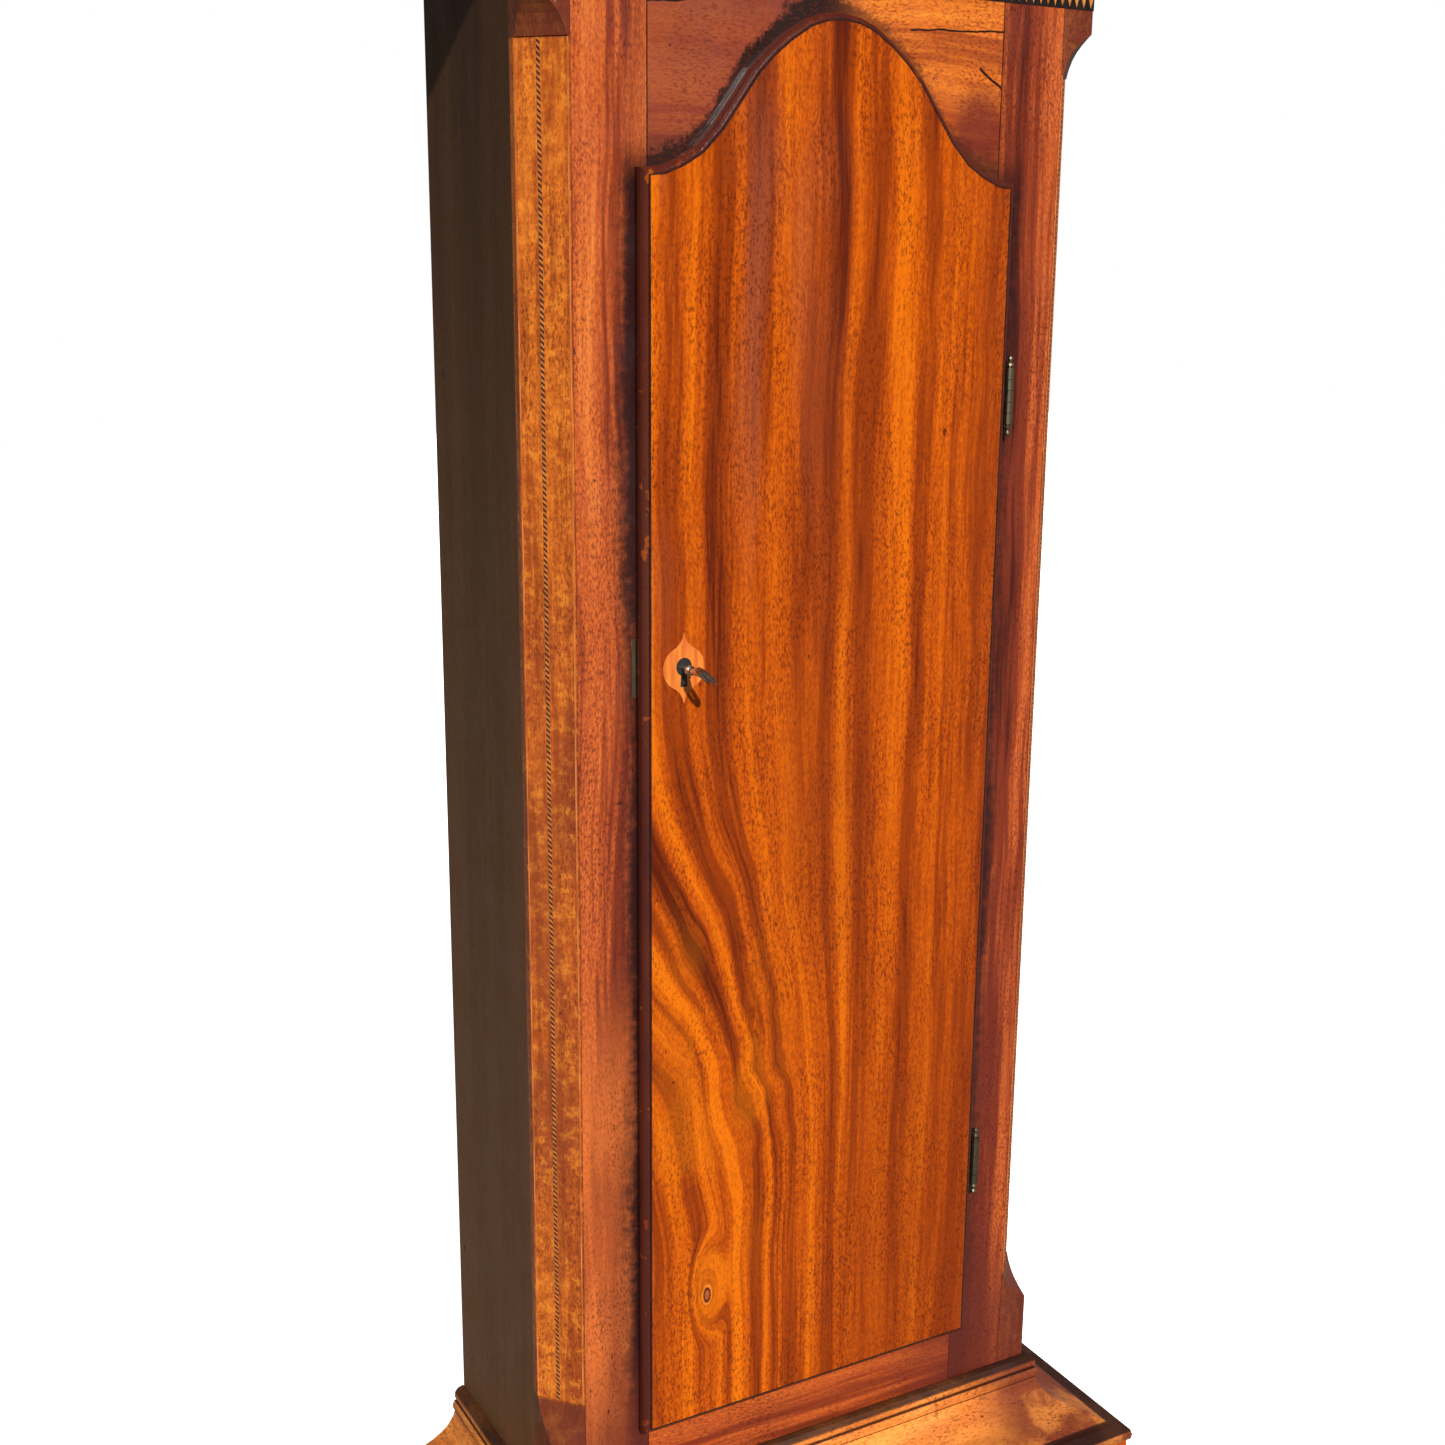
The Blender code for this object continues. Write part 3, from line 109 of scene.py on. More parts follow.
class Tree:
    """Short names for building one material's nodes."""

    def __init__(self, name, rough=0.4, metallic=0.0):
        self.material = bpy.data.materials.new(name)
        self.material.use_nodes = True
        self.tree = self.material.node_tree
        self.shader = self.tree.nodes["Principled BSDF"]
        self.give("Roughness", rough)
        self.give("Metallic", metallic)
        self.place = self.add("ShaderNodeTexCoord").outputs["Object"]
        self.x, self.y, self.z = self.split(self.place)
        self.colour = None

    def add(self, kind, inputs=None, **settings):
        """A new node with its settings; inputs are plain values or other nodes' outputs."""
        node = self.tree.nodes.new(kind)
        for key, value in settings.items():
            setattr(node, key, value)
        for key, value in (inputs or {}).items():
            self.link(value, node.inputs[key])
        return node

    def result(self, kind, output, inputs=None, **settings):
        """A new node's output, ready for arithmetic."""
        return Value(self, self.add(kind, inputs, **settings).outputs[output])

    def link(self, source, target):
        """Join an output to an input, or set the input to a plain value."""
        source = getattr(source, "socket", source)
        if hasattr(source, "is_output"):
            self.tree.links.new(source, target)
        else:
            target.default_value = source

    def give(self, name, value):
        """Join or set one input of the shader."""
        self.link(value, self.shader.inputs[name])

    def split(self, vector):
        node = self.add("ShaderNodeSeparateXYZ", {0: vector})
        return [Value(self, output) for output in node.outputs]

    def faces_sideways(self):
        """1 where the surface turns more to the left or right than to the front or back."""
        x, y = self.split(self.add("ShaderNodeTexCoord").outputs["Normal"])[:2]
        return self.math("GREATER_THAN", abs(x), abs(y))

    def math(self, operation, a, b=0.0):
        return self.result("ShaderNodeMath", 0, {0: a, 1: b}, operation=operation)

    def vector(self, x, y, z):
        return self.result("ShaderNodeCombineXYZ", 0, {0: x, 1: y, 2: z})

    def noise(self, scale, detail=3, rough=0.5, stretch=None, shift=None, at=None):
        """Noise over the piece, scaled along the axes by stretch and moved by shift, or noise of at."""
        if stretch or shift:
            mapping = {"Vector": self.place, "Scale": stretch or (1, 1, 1), "Location": shift or (0, 0, 0)}
            at = self.result("ShaderNodeMapping", 0, mapping)
        inputs = {"Vector": at or self.place, "Scale": scale, "Detail": detail, "Roughness": rough}
        return self.result("ShaderNodeTexNoise", "Fac", inputs)

    def span(self, value, low, high, out_low=0.0, out_high=1.0):
        """Carry a value smoothly from one range to another, held at the ends."""
        inputs = {"Value": value, "From Min": low, "From Max": high, "To Min": out_low, "To Max": out_high}
        return self.result("ShaderNodeMapRange", "Result", inputs, interpolation_type="SMOOTHSTEP")

    def ramp(self, value, stops):
        node = self.add("ShaderNodeValToRGB", {0: value})
        node.color_ramp.interpolation = "EASE"
        while len(node.color_ramp.elements) < len(stops):
            node.color_ramp.elements.new(0.5)
        for element, (position, colour) in zip(node.color_ramp.elements, stops):
            element.position = position
            element.color = (*colour, 1.0)
        return node.outputs[0]

    def mix(self, factor, a, b, blend="MIX"):
        """Lay colour b over colour a by a factor."""
        a, b = ((*value, 1.0) if isinstance(value, tuple) else value for value in (a, b))
        inputs = {0: factor, 6: a, 7: b}
        return self.add("ShaderNodeMix", inputs, data_type="RGBA", blend_type=blend).outputs[2]

    def tint(self, factor, tone, blend="MIX"):
        """Lay a tone over the colour so far."""
        self.colour = self.mix(factor, self.colour, tone, blend)

    def bump(self, height, distance, strength=1.0):
        inputs = {"Strength": strength, "Distance": distance, "Height": height}
        self.give("Normal", self.add("ShaderNodeBump", inputs).outputs[0])

    def ellipse(self, x, z, half_x=1.0, half_z=1.0):
        """Distance from a point in the front plane, 1 at the edge of an ellipse."""
        dx = (self.x - x) / half_x
        dz = (self.z - z) / half_z
        return self.math("SQRT", dx * dx + dz * dz)


# ------ timber

# Darkest pore, dark stripe, middle and light stripe
DOOR_SHADES = ((0.075, 0.0085, 0.002), (0.24, 0.034, 0.0022), (0.4, 0.064, 0.0022), (0.62, 0.13, 0.0024))
MAHOGANY = ((0.05, 0.006, 0.003), (0.19, 0.026, 0.006), (0.39, 0.069, 0.011), (0.6, 0.15, 0.02))
RED_MAHOGANY = ((0.05, 0.007, 0.004), (0.185, 0.026, 0.0085), (0.42, 0.078, 0.016), (0.68, 0.19, 0.033))
GOLD_MAHOGANY = ((0.1, 0.014, 0.004), (0.33, 0.06, 0.0085), (0.56, 0.13, 0.013), (0.76, 0.24, 0.026))
BROWN_BLACK = ((0.013, 0.0058, 0.0028), (0.03, 0.0125, 0.0055), (0.052, 0.022, 0.009),
               (0.078, 0.036, 0.015))
OLD_OAK = ((0.06, 0.024, 0.009), (0.135, 0.058, 0.021), (0.215, 0.1, 0.038), (0.3, 0.155, 0.064))


def band(t, value, centre, half):
    """1 on a stripe, falling to 0 at its edges."""
    return t.span(abs(value - centre), half, half * 0.25)


def timber(name, shades, run="z", seed=0, stripe=34, rough=0.33, coat=0.22, wander=0.02,
           specks=0.62, gloss=0.3, bend=None, stripes=(), shade=None, rim=None, mitred=False):
    """Polished timber: ribbon stripes, fine lines and short dark pores along one axis.

    A mitred timber turns its grain round the corner on the faces that look sideways.
    rim is the y of a flat face whose rounded edge behind it has a thicker, shinier polish."""
    t = Tree(name, rough)
    t.give("Coat Weight", coat)
    t.give("Coat Roughness", 0.12)
    t.give("Specular IOR Level", gloss)
    drift = t.noise(5, 2, shift=(seed, seed * 0.7, -seed))
    long, across = (t.z, t.x) if run == "z" else (t.x, t.z)
    deep = t.y
    if mitred:
        swap = t.faces_sideways() * (deep - long)
        long, deep = long + swap, deep - swap
    across = across + (drift - 0.5) * wander
    plain = across + seed
    if bend:
        across = bend(t, across)
    moved = across + seed
    ribbon = t.noise(stripe, 4, 0.62, at=t.vector(moved, deep, long * 0.045))
    lines = t.noise(stripe * 9, 3, 0.6, at=t.vector(moved, deep, long * 0.04))
    body = ribbon * 0.72 + lines * 0.28
    for centre, half, strength in stripes:
        body = body + band(t, across, centre, half) * strength
    t.colour = t.ramp(body, tuple(zip((0.3, 0.42, 0.53, 0.68), shades)))
    dash = t.noise(820, 2, 0.65, at=t.vector(plain, deep, long * 0.42))
    dots = t.span(dash, 0.49, 0.64)
    where = t.span(t.noise(38, 2, stretch=(1, 1, 0.3), shift=(seed, 0, 4)), 0.38, 0.6, 0.45, 1)
    glint = t.span(dash, 0.47, 0.34, 0, 0.4) * t.span(body, 0.44, 0.54)
    t.tint(glint, shades[3])
    if shade:
        shade(t)
    t.tint(dots * where * specks, shades[0])
    pits = t.span(t.noise(190, 2, stretch=(1, 1, 0.55), shift=(seed, 1, 2)), 0.735, 0.765)
    t.tint(pits * 0.8, shades[0])
    t.give("Base Color", t.colour)
    polish = t.noise(28, 3, 0.6)
    t.give("Roughness", t.span(polish, 0.3, 0.7, rough - 0.07, rough + 0.1))
    if rim:
        edge = t.span(t.y, rim + 0.0003, rim + 0.0007)
        t.give("Coat Weight", t.span(edge, 0, 1, coat, 0.8))
    t.bump(polish * 0.05 - dots * 0.1 - pits * 0.55, 0.0005, 0.7)
    return t.material


def crack(t, start, end, width):
    """1 along a wandering crack between two points, each x and the height over the trunk's foot."""
    slope = (end[1] - start[1]) / (end[0] - start[0])
    line = (t.x - start[0]) * slope + start[1]
    wobble = (t.noise(60, 2) - 0.5) * 0.0045
    off = abs(t.z - TRUNK_FOOT - line + wobble)
    here = t.span(t.x, start[0] - 0.001, start[0]) * t.span(t.x, end[0] + 0.001, end[0])
    return t.span(off, width, width * 0.4) * here


def door_bend(t, across):
    """Lean the door's grain low on the left, curl it in the flame and ring a small knot."""
    fall = TRUNK_FOOT + 0.5 - t.z
    side = t.span(t.x, 0.035, -0.085)
    lean = t.span(fall, 0, 0.34, 0, 0.13) * side
    flame = t.span(t.ellipse(-0.06, TRUNK_FOOT + 0.29, 0.085, 0.2), 1, 0.35)
    swirl = t.noise(15, 2, 0.45, stretch=(1, 0.4, 0.42), shift=(0.37, 0, 0.61))
    heart = t.span(t.ellipse(-0.042, TRUNK_FOOT + 0.265, 0.045, 0.095), 1, 0.3)
    curl = t.noise(42, 2, 0.5, stretch=(1, 0.4, 0.7), shift=(2.3, 0, 1.9))
    push = (swirl - 0.5) * 0.07 * flame + (curl - 0.5) * 0.045 * heart
    across = across + (push - lean)
    knot = t.ellipse(KNOT[0] + 0.0015, KNOT[1] + 0.005, 0.01, 0.025)
    near = t.span(knot, 1.9, 0.6, 0, 0.92) ** 1.6
    return across * (1 - near) + (knot * 0.016 - 0.182) * near


def door_knot(t):
    """A bright oval with fine rings round a small dark-edged knot."""
    halo = t.ellipse(KNOT[0] + 0.0015, KNOT[1] + 0.006, 0.0125, 0.027)
    ragged = halo + (t.noise(90, 2) - 0.5) * 0.45
    t.tint(t.span(ragged, 1.12, 0.8, 0, 0.45), (0.64, 0.15, 0.003))
    rings = t.ellipse(KNOT[0], KNOT[1] + 0.0015, 0.01, 0.0215)
    wobble = rings + t.noise(120, 2) * 0.12
    ring = t.span(t.math("PINGPONG", wobble * 3.2, 0.5), 0.28, 0.46)
    t.tint(ring * t.span(rings, 1.3, 0.7, 0, 0.5), (0.33, 0.056, 0.003))
    knot = t.ellipse(KNOT[0], KNOT[1], 0.0026, 0.0052)
    t.tint(t.span(knot, 1.5, 1.2) * 0.45, (0.8, 0.3, 0.04))
    t.tint(t.span(knot, 1.08, 0.95), (0.11, 0.02, 0.006))
    t.tint(t.span(knot, 0.68, 0.5), (0.34, 0.09, 0.03))


def door_shade(t):
    """Golden flame, a painted lilac-brown reflection of the sky at the top left, a dark worn rim, and grime
    and painted shade at the back of the door's edge.
    """
    flame = t.span(t.ellipse(-0.075, TRUNK_FOOT + 0.25, 0.07, 0.18), 1, 0.2)
    veil = t.noise(26, 2, 0.5, stretch=(1, 1, 0.45), shift=(0.2, 0, 0.9))
    t.tint(flame * t.span(veil, 0.44, 0.62) * 0.26, (0.72, 0.19, 0.003))
    door_knot(t)
    # Painted reflection: a lilac-brown sheen of the sky over the upper left of the door, laid into the
    # colour.
    high = t.span(t.z, DOOR_HIGH.z - 0.42, DOOR_HIGH.z - 0.16)
    mist = t.span(t.noise(24, 2, stretch=(1, 1, 0.12), shift=(1.4, 0, 0)), 0.48, 0.62)
    lilac = high * mist * t.span(t.x, 0.02, -0.05)
    below = t.span(t.z, DOOR_HIGH.z - 0.03, DOOR_HIGH.z - 0.09, 0.25, 1)
    t.tint(lilac * below * 0.55, (0.24, 0.062, 0.03))
    t.tint(t.span(t.x, 0.088, 0.118, 0, 0.35), (0.15, 0.02, 0.006))
    corner = t.span(t.x, -0.03, 0.06) * t.span(t.z, TRUNK_FOOT + 0.42, TRUNK_FOOT + 0.1)
    t.tint(corner * 0.5, (0.2, 0.027, 0.002))
    smoke = t.span(t.ellipse(0.002, TRUNK_FOOT + 0.52, 0.05, 0.26), 1, 0.3)
    streak = t.span(t.noise(40, 2, stretch=(1, 1, 0.1), shift=(3.1, 0, 0.4)), 0.42, 0.58, 0.25, 0.65)
    t.tint(smoke * streak, (0.2, 0.029, 0.003))
    rim = t.span(t.y, DOOR_LOW.y + 0.0003, DOOR_LOW.y + 0.0007)
    worn = t.span(t.noise(140, 2), 0.62, 0.7, 0.95, 0.6)
    t.tint(rim * worn, (0.052, 0.009, 0.007))
    # Grime and painted shade: the back of the door's edge, in the gap at the frame, turns almost black.
    t.tint(t.span(t.y, DOOR_LOW.y + 0.0058, DOOR_LOW.y + 0.008, 0, 0.95), (0.006, 0.003, 0.002))


def stile_shade(t):
    """Ragged dark grime and painted shade beside the door, dark wine low on the right and a worn lighter
    foot on the left.
    """
    rise = t.z - TRUNK_FOOT
    blotch = t.noise(34, 3, stretch=(1, 1, 0.22))
    worn = t.span(rise, 0.36, 0.24, 0, 0.6) * t.span(t.x, 0, -0.05)
    t.tint(worn * t.span(blotch, 0.4, 0.55, 0.5, 1), (0.62, 0.15, 0.03))
    low = t.span(rise, 0.38, 0.24, 0, 0.85) * t.span(t.x, 0.152, 0.138)
    wine = t.span(t.x, 0.115, 0.125) * t.span(blotch, 0.35, 0.6, 0.7, 1)
    t.tint(low * wine, (0.13, 0.017, 0.0085))
    # Grime and painted shade: a ragged darkening that deepens towards the door's edge.
    crumbs = (t.noise(160, 3, 0.6) - 0.5) * 0.012
    ragged = abs(t.x) + crumbs + (blotch - 0.5) * 0.018
    edge = t.span(ragged, DOOR_HIGH.x + 0.017, DOOR_HIGH.x + 0.0005) ** 1.5
    beside = t.span(rise, 0.802, 0.775, 0.2, 1)
    t.tint(edge * beside, (0.022, 0.005, 0.005))
    foot = rise + (blotch - 0.5) * 0.16
    t.tint(t.span(foot, 0.115, 0.03, 0, 0.75), (0.11, 0.017, 0.01))


def post_shade(t):
    """The chamfers fade from golden at the top to red in the middle, with worn patches below."""
    rise = t.z - TRUNK_FOOT
    ragged = rise + (t.noise(30, 2) - 0.5) * 0.1
    red = t.span(ragged, 0.56, 0.5) * t.span(ragged, 0.13, 0.19)
    t.tint(red * 0.45, (0.38, 0.07, 0.015))
    cloud = t.noise(22, 2, stretch=(1, 1, 0.5))
    low = t.span(rise, 0.6, 0.45)
    t.tint(low * t.span(cloud, 0.5, 0.62, 0, 0.45), (0.2, 0.038, 0.017))
    mottle = t.noise(120, 4, 0.7, stretch=(0.9, 0.9, 1), shift=(0, 0, 3))
    t.tint(t.span(mottle, 0.48, 0.66, 0, 0.45), (0.9, 0.3, 0.028))
    t.tint(t.span(mottle, 0.5, 0.34, 0, 0.5), (0.26, 0.046, 0.008))
    shadow = t.span(t.noise(190, 2, stretch=(1, 1, 0.05), shift=(0, 0, 9)), 0.52, 0.62, 0, 0.45)
    t.tint(shadow, (0.2, 0.032, 0.007))
    ends = t.math("MAXIMUM", t.span(rise, 0.843, 0.8455), t.span(rise, 0.069, 0.0665))
    t.tint(ends * 0.8, (0.085, 0.016, 0.011))


# Height of the upper part of the door that holds its curved top
CROWN = 0.1


def door_crown():
    """Points of the door's top edge, from the middle to the right shoulder."""
    corners = [v.co for v in NODES["trunk_door"].data.vertices]
    corners = [c for c in corners if c.x > -0.0001 and c.z > DOOR_HIGH.z - CROWN]
    rim = [c for c in corners if all(o.z < c.z + 0.0004 or abs(o.x - c.x) > 0.0035 for o in corners)]
    found = {round(c.x, 4): c.z for c in sorted(rim, key=lambda c: c.z)}
    return sorted(found.items())


def above_door(t):
    """Height over the door's top edge at this place, in metres."""
    base, reach = DOOR_HIGH.z - CROWN, DOOR_HIGH.x
    curve = t.add("ShaderNodeFloatCurve", {"Value": abs(t.x) / reach})
    points = curve.mapping.curves[0].points
    places = [(x / reach, (z - base) / CROWN) for x, z in door_crown()]
    points[0].location, points[1].location = places[0], places[-1]
    for place in places[1:-1]:
        points.new(*place)
    for point in points:
        point.handle_type = "VECTOR"
    curve.mapping.update()
    return t.z - (Value(t, curve.outputs[0]) * CROWN + base)


def rail_shade(t):
    """Dark red on the left spandrel, golden on the right, grime and painted shade and cracks along the
    arch.
    """
    cloud = t.noise(30, 3, stretch=(0.5, 1, 1))
    t.tint(t.span(t.x, 0.03, -0.012) * t.span(cloud, 0.3, 0.7, 0.7, 0.95), (0.175, 0.029, 0.021))
    patch = t.span(t.ellipse(0.1, TRUNK_FOOT + 0.808, 0.026, 0.032), 1.05, 0.45)
    t.tint(patch * t.span(cloud, 0.35, 0.55, 0.35, 0.85), (0.15, 0.018, 0.011))
    # Grime and painted shade: a ragged dark band on the rail along the door's arch, darkest on the left.
    crumbs = cloud + (t.noise(330, 3, 0.7) - 0.5) * 0.9
    ragged = above_door(t) + (crumbs - 0.5) * -0.022
    t.tint(t.span(ragged, 0.0115, 0.005) * t.span(t.x, 0.03, -0.01, 0.55, 0.97), (0.01, 0.005, 0.0045))
    t.tint(t.span(abs(t.x), 0.113, 0.1134, 0, 0.9), (0.008, 0.004, 0.003))
    low = t.span(t.z, DOOR_HIGH.z - 0.058, DOOR_HIGH.z - 0.08, 0, 0.75)
    t.tint(low * t.span(cloud, 0.3, 0.6, 0.5, 1), (0.03, 0.009, 0.007))
    for start, end, width in (((-0.1137, 0.864), (-0.036, 0.8735), 0.0011),
                              ((0.05, 0.861), (0.1137, 0.865), 0.0008),
                              ((0.098, 0.844), (0.1137, 0.834), 0.0014)):
        t.tint(crack(t, start, end, width), (0.006, 0.003, 0.002))


def foot_rail_shade(t):
    """Dark wine towards the right end, and grime and painted shade along the upper edge, under the door."""
    cloud = t.noise(40, 3, stretch=(0.5, 1, 1))
    t.tint(t.span(t.x, 0.05, 0.114, 0, 0.8) * t.span(cloud, 0.3, 0.6, 0.6, 1), (0.13, 0.018, 0.01))
    # Grime and painted shade just under the door's foot.
    t.tint(t.span(t.z, DOOR_LOW.z - 0.0045, DOOR_LOW.z - 0.0005, 0, 0.75), (0.06, 0.011, 0.008))


def side_shade(t):
    """Almost black at the top, browner below: painted light from the floor, added to the colour."""
    rise = t.z - TRUNK_FOOT
    # Painted light: a brown glow added towards the bottom, as if reflected from the floor, weaker on the
    # base.
    fade = t.span(rise, 1.3, 0) * t.span(rise, -0.09, -0.04, 0.35, 1)
    t.tint(fade, (0.15, 0.072, 0.033), "ADD")


def moulding_shade(t):
    """Worn orange waist moulding, dark wine at the right corner, with grime and painted shade in its seam
    and quirks.
    """
    rise = t.z - TRUNK_FOOT
    wear = t.noise(60, 3, 0.6, stretch=(0.22, 0.45, 1))
    t.tint(t.span(wear, 0.36, 0.66, 0.35, 0.85), (0.95, 0.33, 0.06))
    wine = t.span(t.x, 0.11, 0.17) * t.span(t.noise(34, 3), 0.62, 0.42, 0.5, 0.9)
    t.tint(wine, (0.13, 0.02, 0.011))
    # Grime and painted shade in the seam under the trunk.
    grime_and_shade = t.span(t.noise(120, 3, 0.6, stretch=(0.2, 0.2, 1)), 0.38, 0.62, 1, 0.92)
    seam = t.span(rise, -0.0052, -0.003, 0, 0.97)
    t.tint(seam * grime_and_shade, (0.012, 0.0055, 0.0045))
    # Grime and painted shade in the quirks.
    for top, low in ((-0.008, -0.01), (-0.0156, -0.0172), (-0.042, -0.047)):
        quirk = t.span(rise, top, top - 0.0006) * t.span(rise, low, low + 0.0006)
        t.tint(quirk * 0.92, (0.012, 0.005, 0.004))


def board_shade(t):
    """The backboard's planks."""
    for x in (-0.08, 0.062):
        t.tint(band(t, t.x, x, 0.0012), (0.01, 0.006, 0.004))


# ------ metals, glass and others

def metal(name, colour, dark, rough=0.3, grain=260, spots=0.35, bump=0.00008, spun=None):
    """Metal with soft tarnish and fine rubbing marks, or turning marks round the point spun."""
    t = Tree(name, rough, 1.0)
    cloud = t.noise(42, 4, 0.6)
    height = t.noise(grain, 2, stretch=(1, 1, 6))
    t.give("Base Color", t.mix(t.span(cloud, 0.38, 0.7, 0, spots), colour, dark))
    t.give("Roughness", t.span(cloud, 0.3, 0.7, rough - 0.06, rough + 0.14))
    if spun:
        height = t.math("SINE", t.ellipse(*spun) * 9000)
    t.bump(height, bump, 0.6)
    return t.material


def inlay_wood(name, colour, dark):
    t = Tree(name, 0.35)
    streak = t.noise(400, 3, stretch=(1, 1, 0.1))
    t.give("Base Color", t.mix(t.span(streak, 0.35, 0.65), dark, colour))
    t.bump(streak, 0.0001, 0.4)
    return t.material


def barber_pole(name):
    """Stringing of light and dark wood laid on the slant."""
    t = Tree(name, 0.38)
    slant = t.z * 330 + t.x * 420
    band = t.span(t.math("PINGPONG", slant, 0.5), 0.2, 0.3)
    wear = t.noise(300, 3)
    light = t.mix(t.span(wear, 0.35, 0.65), (0.36, 0.11, 0.026), (0.54, 0.19, 0.048))
    t.give("Base Color", t.mix(band, light, (0.055, 0.015, 0.007)))
    t.bump(wear, 0.0001, 0.4)
    return t.material


def silvered(name):
    t = Tree(name, 0.34, 0.85)
    cloud = t.noise(35, 4, 0.6)
    t.give("Base Color", t.mix(t.span(cloud, 0.35, 0.7), (0.74, 0.72, 0.66), (0.6, 0.57, 0.48)))
    t.give("Roughness", t.span(cloud, 0.3, 0.7, 0.28, 0.42))
    t.bump(t.noise(300, 2, stretch=(6, 1, 1)), 0.00004, 0.5)
    return t.material


def matted_brass(name):
    """Dial centre, punched all over with fine dots."""
    t = Tree(name, 0.42, 1.0)
    dots = t.result("ShaderNodeTexVoronoi", "Distance", {"Scale": 900, "Vector": t.place})
    cloud = t.noise(30, 4)
    t.give("Base Color", t.mix(t.span(cloud, 0.35, 0.7, 0, 0.5), (0.66, 0.44, 0.15), (0.36, 0.22, 0.07)))
    t.bump(dots, 0.0003, 0.8)
    return t.material


# Near black: the dial's wax-filled marks, and the painted shade of the keyholes.
def black_wax_and_hole_shade(name):
    t = Tree(name, 0.5)
    grain = t.noise(500, 2)
    t.give("Base Color", t.mix(grain, (0.008, 0.008, 0.009), (0.02, 0.018, 0.017)))
    return t.material


def pane(name):
    """Clear old glass with a slight wave."""
    t = Tree(name, 0.03)
    t.give("Base Color", t.mix(t.noise(12, 2), (0.015, 0.022, 0.02), (0.03, 0.038, 0.034)))
    t.give("Alpha", 0.12)
    t.give("Specular IOR Level", 0.6)
    t.bump(t.noise(9, 2), 0.002, 0.4)
    return t.material


def twisted_gut(name):
    t = Tree(name, 0.5)
    twist = t.z * 900 + t.x * 1400
    band = t.span(t.math("PINGPONG", twist, 0.5), 0.1, 0.4)
    t.give("Base Color", t.mix(band, (0.36, 0.22, 0.09), (0.62, 0.44, 0.22)))
    t.bump(band, 0.0002, 0.6)
    return t.material


# ------ shape helpers

def new_object(name, data):
    """An object of the scene that holds the data."""
    obj = bpy.data.objects.new(name, data)
    bpy.context.scene.collection.objects.link(obj)
    return obj


def keep_mesh(name, mesh, material, body="case", smooth=None):
    """Link a mesh, or several as one, as a piece that rides on a body.

    smooth is the angle in degrees up to which edges look round."""
    mesh = merged(mesh) if isinstance(mesh, list) else mesh
    obj = new_object(name, mesh)
    mesh.materials.clear()
    mesh.materials.append(material)
    if smooth:
        mesh.shade_smooth()
        mesh.set_sharp_from_angle(angle=radians(smooth))
    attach(obj, body)
    return obj


def mesh_from(verts, faces):
    """A mesh with its faces turned outward."""
    mesh = bpy.data.meshes.new("piece")
    mesh.from_pydata([tuple(v) for v in verts], [], faces)
    work = bmesh.new()
    work.from_mesh(mesh)
    bmesh.ops.recalc_face_normals(work, faces=work.faces)
    work.to_mesh(mesh)
    work.free()
    return mesh


def skin(rings):
    """A closed skin over a row of rings."""
    count = len(rings[0])
    verts = [v for loop in rings for v in loop]
    faces = []
    for i in range(len(rings) - 1):
        near = i * count
        far = near + count
        for j in range(count):
            k = (j + 1) % count
            faces.append((near + j, near + k, far + k, far + j))
    faces.append(tuple(range(count)))
    faces.append(tuple(range(len(verts) - count, len(verts))))
    return mesh_from(verts, faces)


def slab(outlines, y, thick):
    """A flat plate in the front plane, with holes where outlines lie inside others; y is its front."""
    curve = bpy.data.curves.new("slab", "CURVE")
    curve.dimensions = "2D"
    curve.fill_mode = "BOTH"
    curve.extrude = thick / 2
    for outline in outlines:
        spline = curve.splines.new("POLY")
        spline.points.add(len(outline) - 1)
        for point, (x, z) in zip(spline.points, outline):
            point.co = (x, z, 0.0, 1.0)
        spline.use_cyclic_u = True
    holder = new_object("slab", curve)
    mesh = bpy.data.meshes.new_from_object(holder)
    bpy.data.objects.remove(holder)
    bpy.data.curves.remove(curve)
    mesh.transform(Matrix.Translation((0.0, y + thick / 2, 0.0)) @ Matrix.Rotation(pi / 2, 4, "X"))
    return mesh


def polar(centre, radius, angle):
    """The point of a circle in the front plane, its angle taken from the right-hand side."""
    a = radians(angle)
    return centre[0] + radius * cos(a), centre[1] + radius * sin(a)


def ring(centre, outer, inner, y, thick, count=64, inner_count=None):
    """A flat ring with its front at y."""
    circles = []
    for radius, steps in ((outer, count), (inner, inner_count or count)):
        circles.append([polar(centre, radius, 360 * i / steps) for i in range(steps)])
    return slab(circles, y, thick)


def turning(centre, axis, base, profile, count=48):
    """Turned piece along y or z; the profile is [(level from the base, radius), ...]."""
    rings = []
    for level, radius in profile:
        points = [polar(centre, radius, 360 * i / count) for i in range(count)]
        if axis == "y":
            rings.append([(x, base + level, z) for x, z in points])
        else:
            rings.append([(x, y, base + level) for x, y in points])
    return skin(rings)


def tube(points, radius, sides=8):
    """A round rod along a path."""
    rings = []
    for i, point in enumerate(points):
        ahead = Vector(points[min(i + 1, len(points) - 1)]) - Vector(points[max(i - 1, 0)])
        ahead.normalize()
        side = ahead.cross(Vector((0.0, 1.0, 0.0)))
        if side.length < 0.1:
            side = ahead.cross(Vector((1.0, 0.0, 0.0)))
        side.normalize()
        up = side.cross(ahead)
        rings.append([Vector(point) + radius
                      * (side * cos(2 * pi * j / sides) + up * sin(2 * pi * j / sides))
                      for j in range(sides)])
    return skin(rings)


def merged(meshes):
    """Several meshes as one."""
    work = bmesh.new()
    for mesh in meshes:
        work.from_mesh(mesh)
    result = bpy.data.meshes.new("merged")
    work.to_mesh(result)
    work.free()
    return result


# ------ CAD nodes

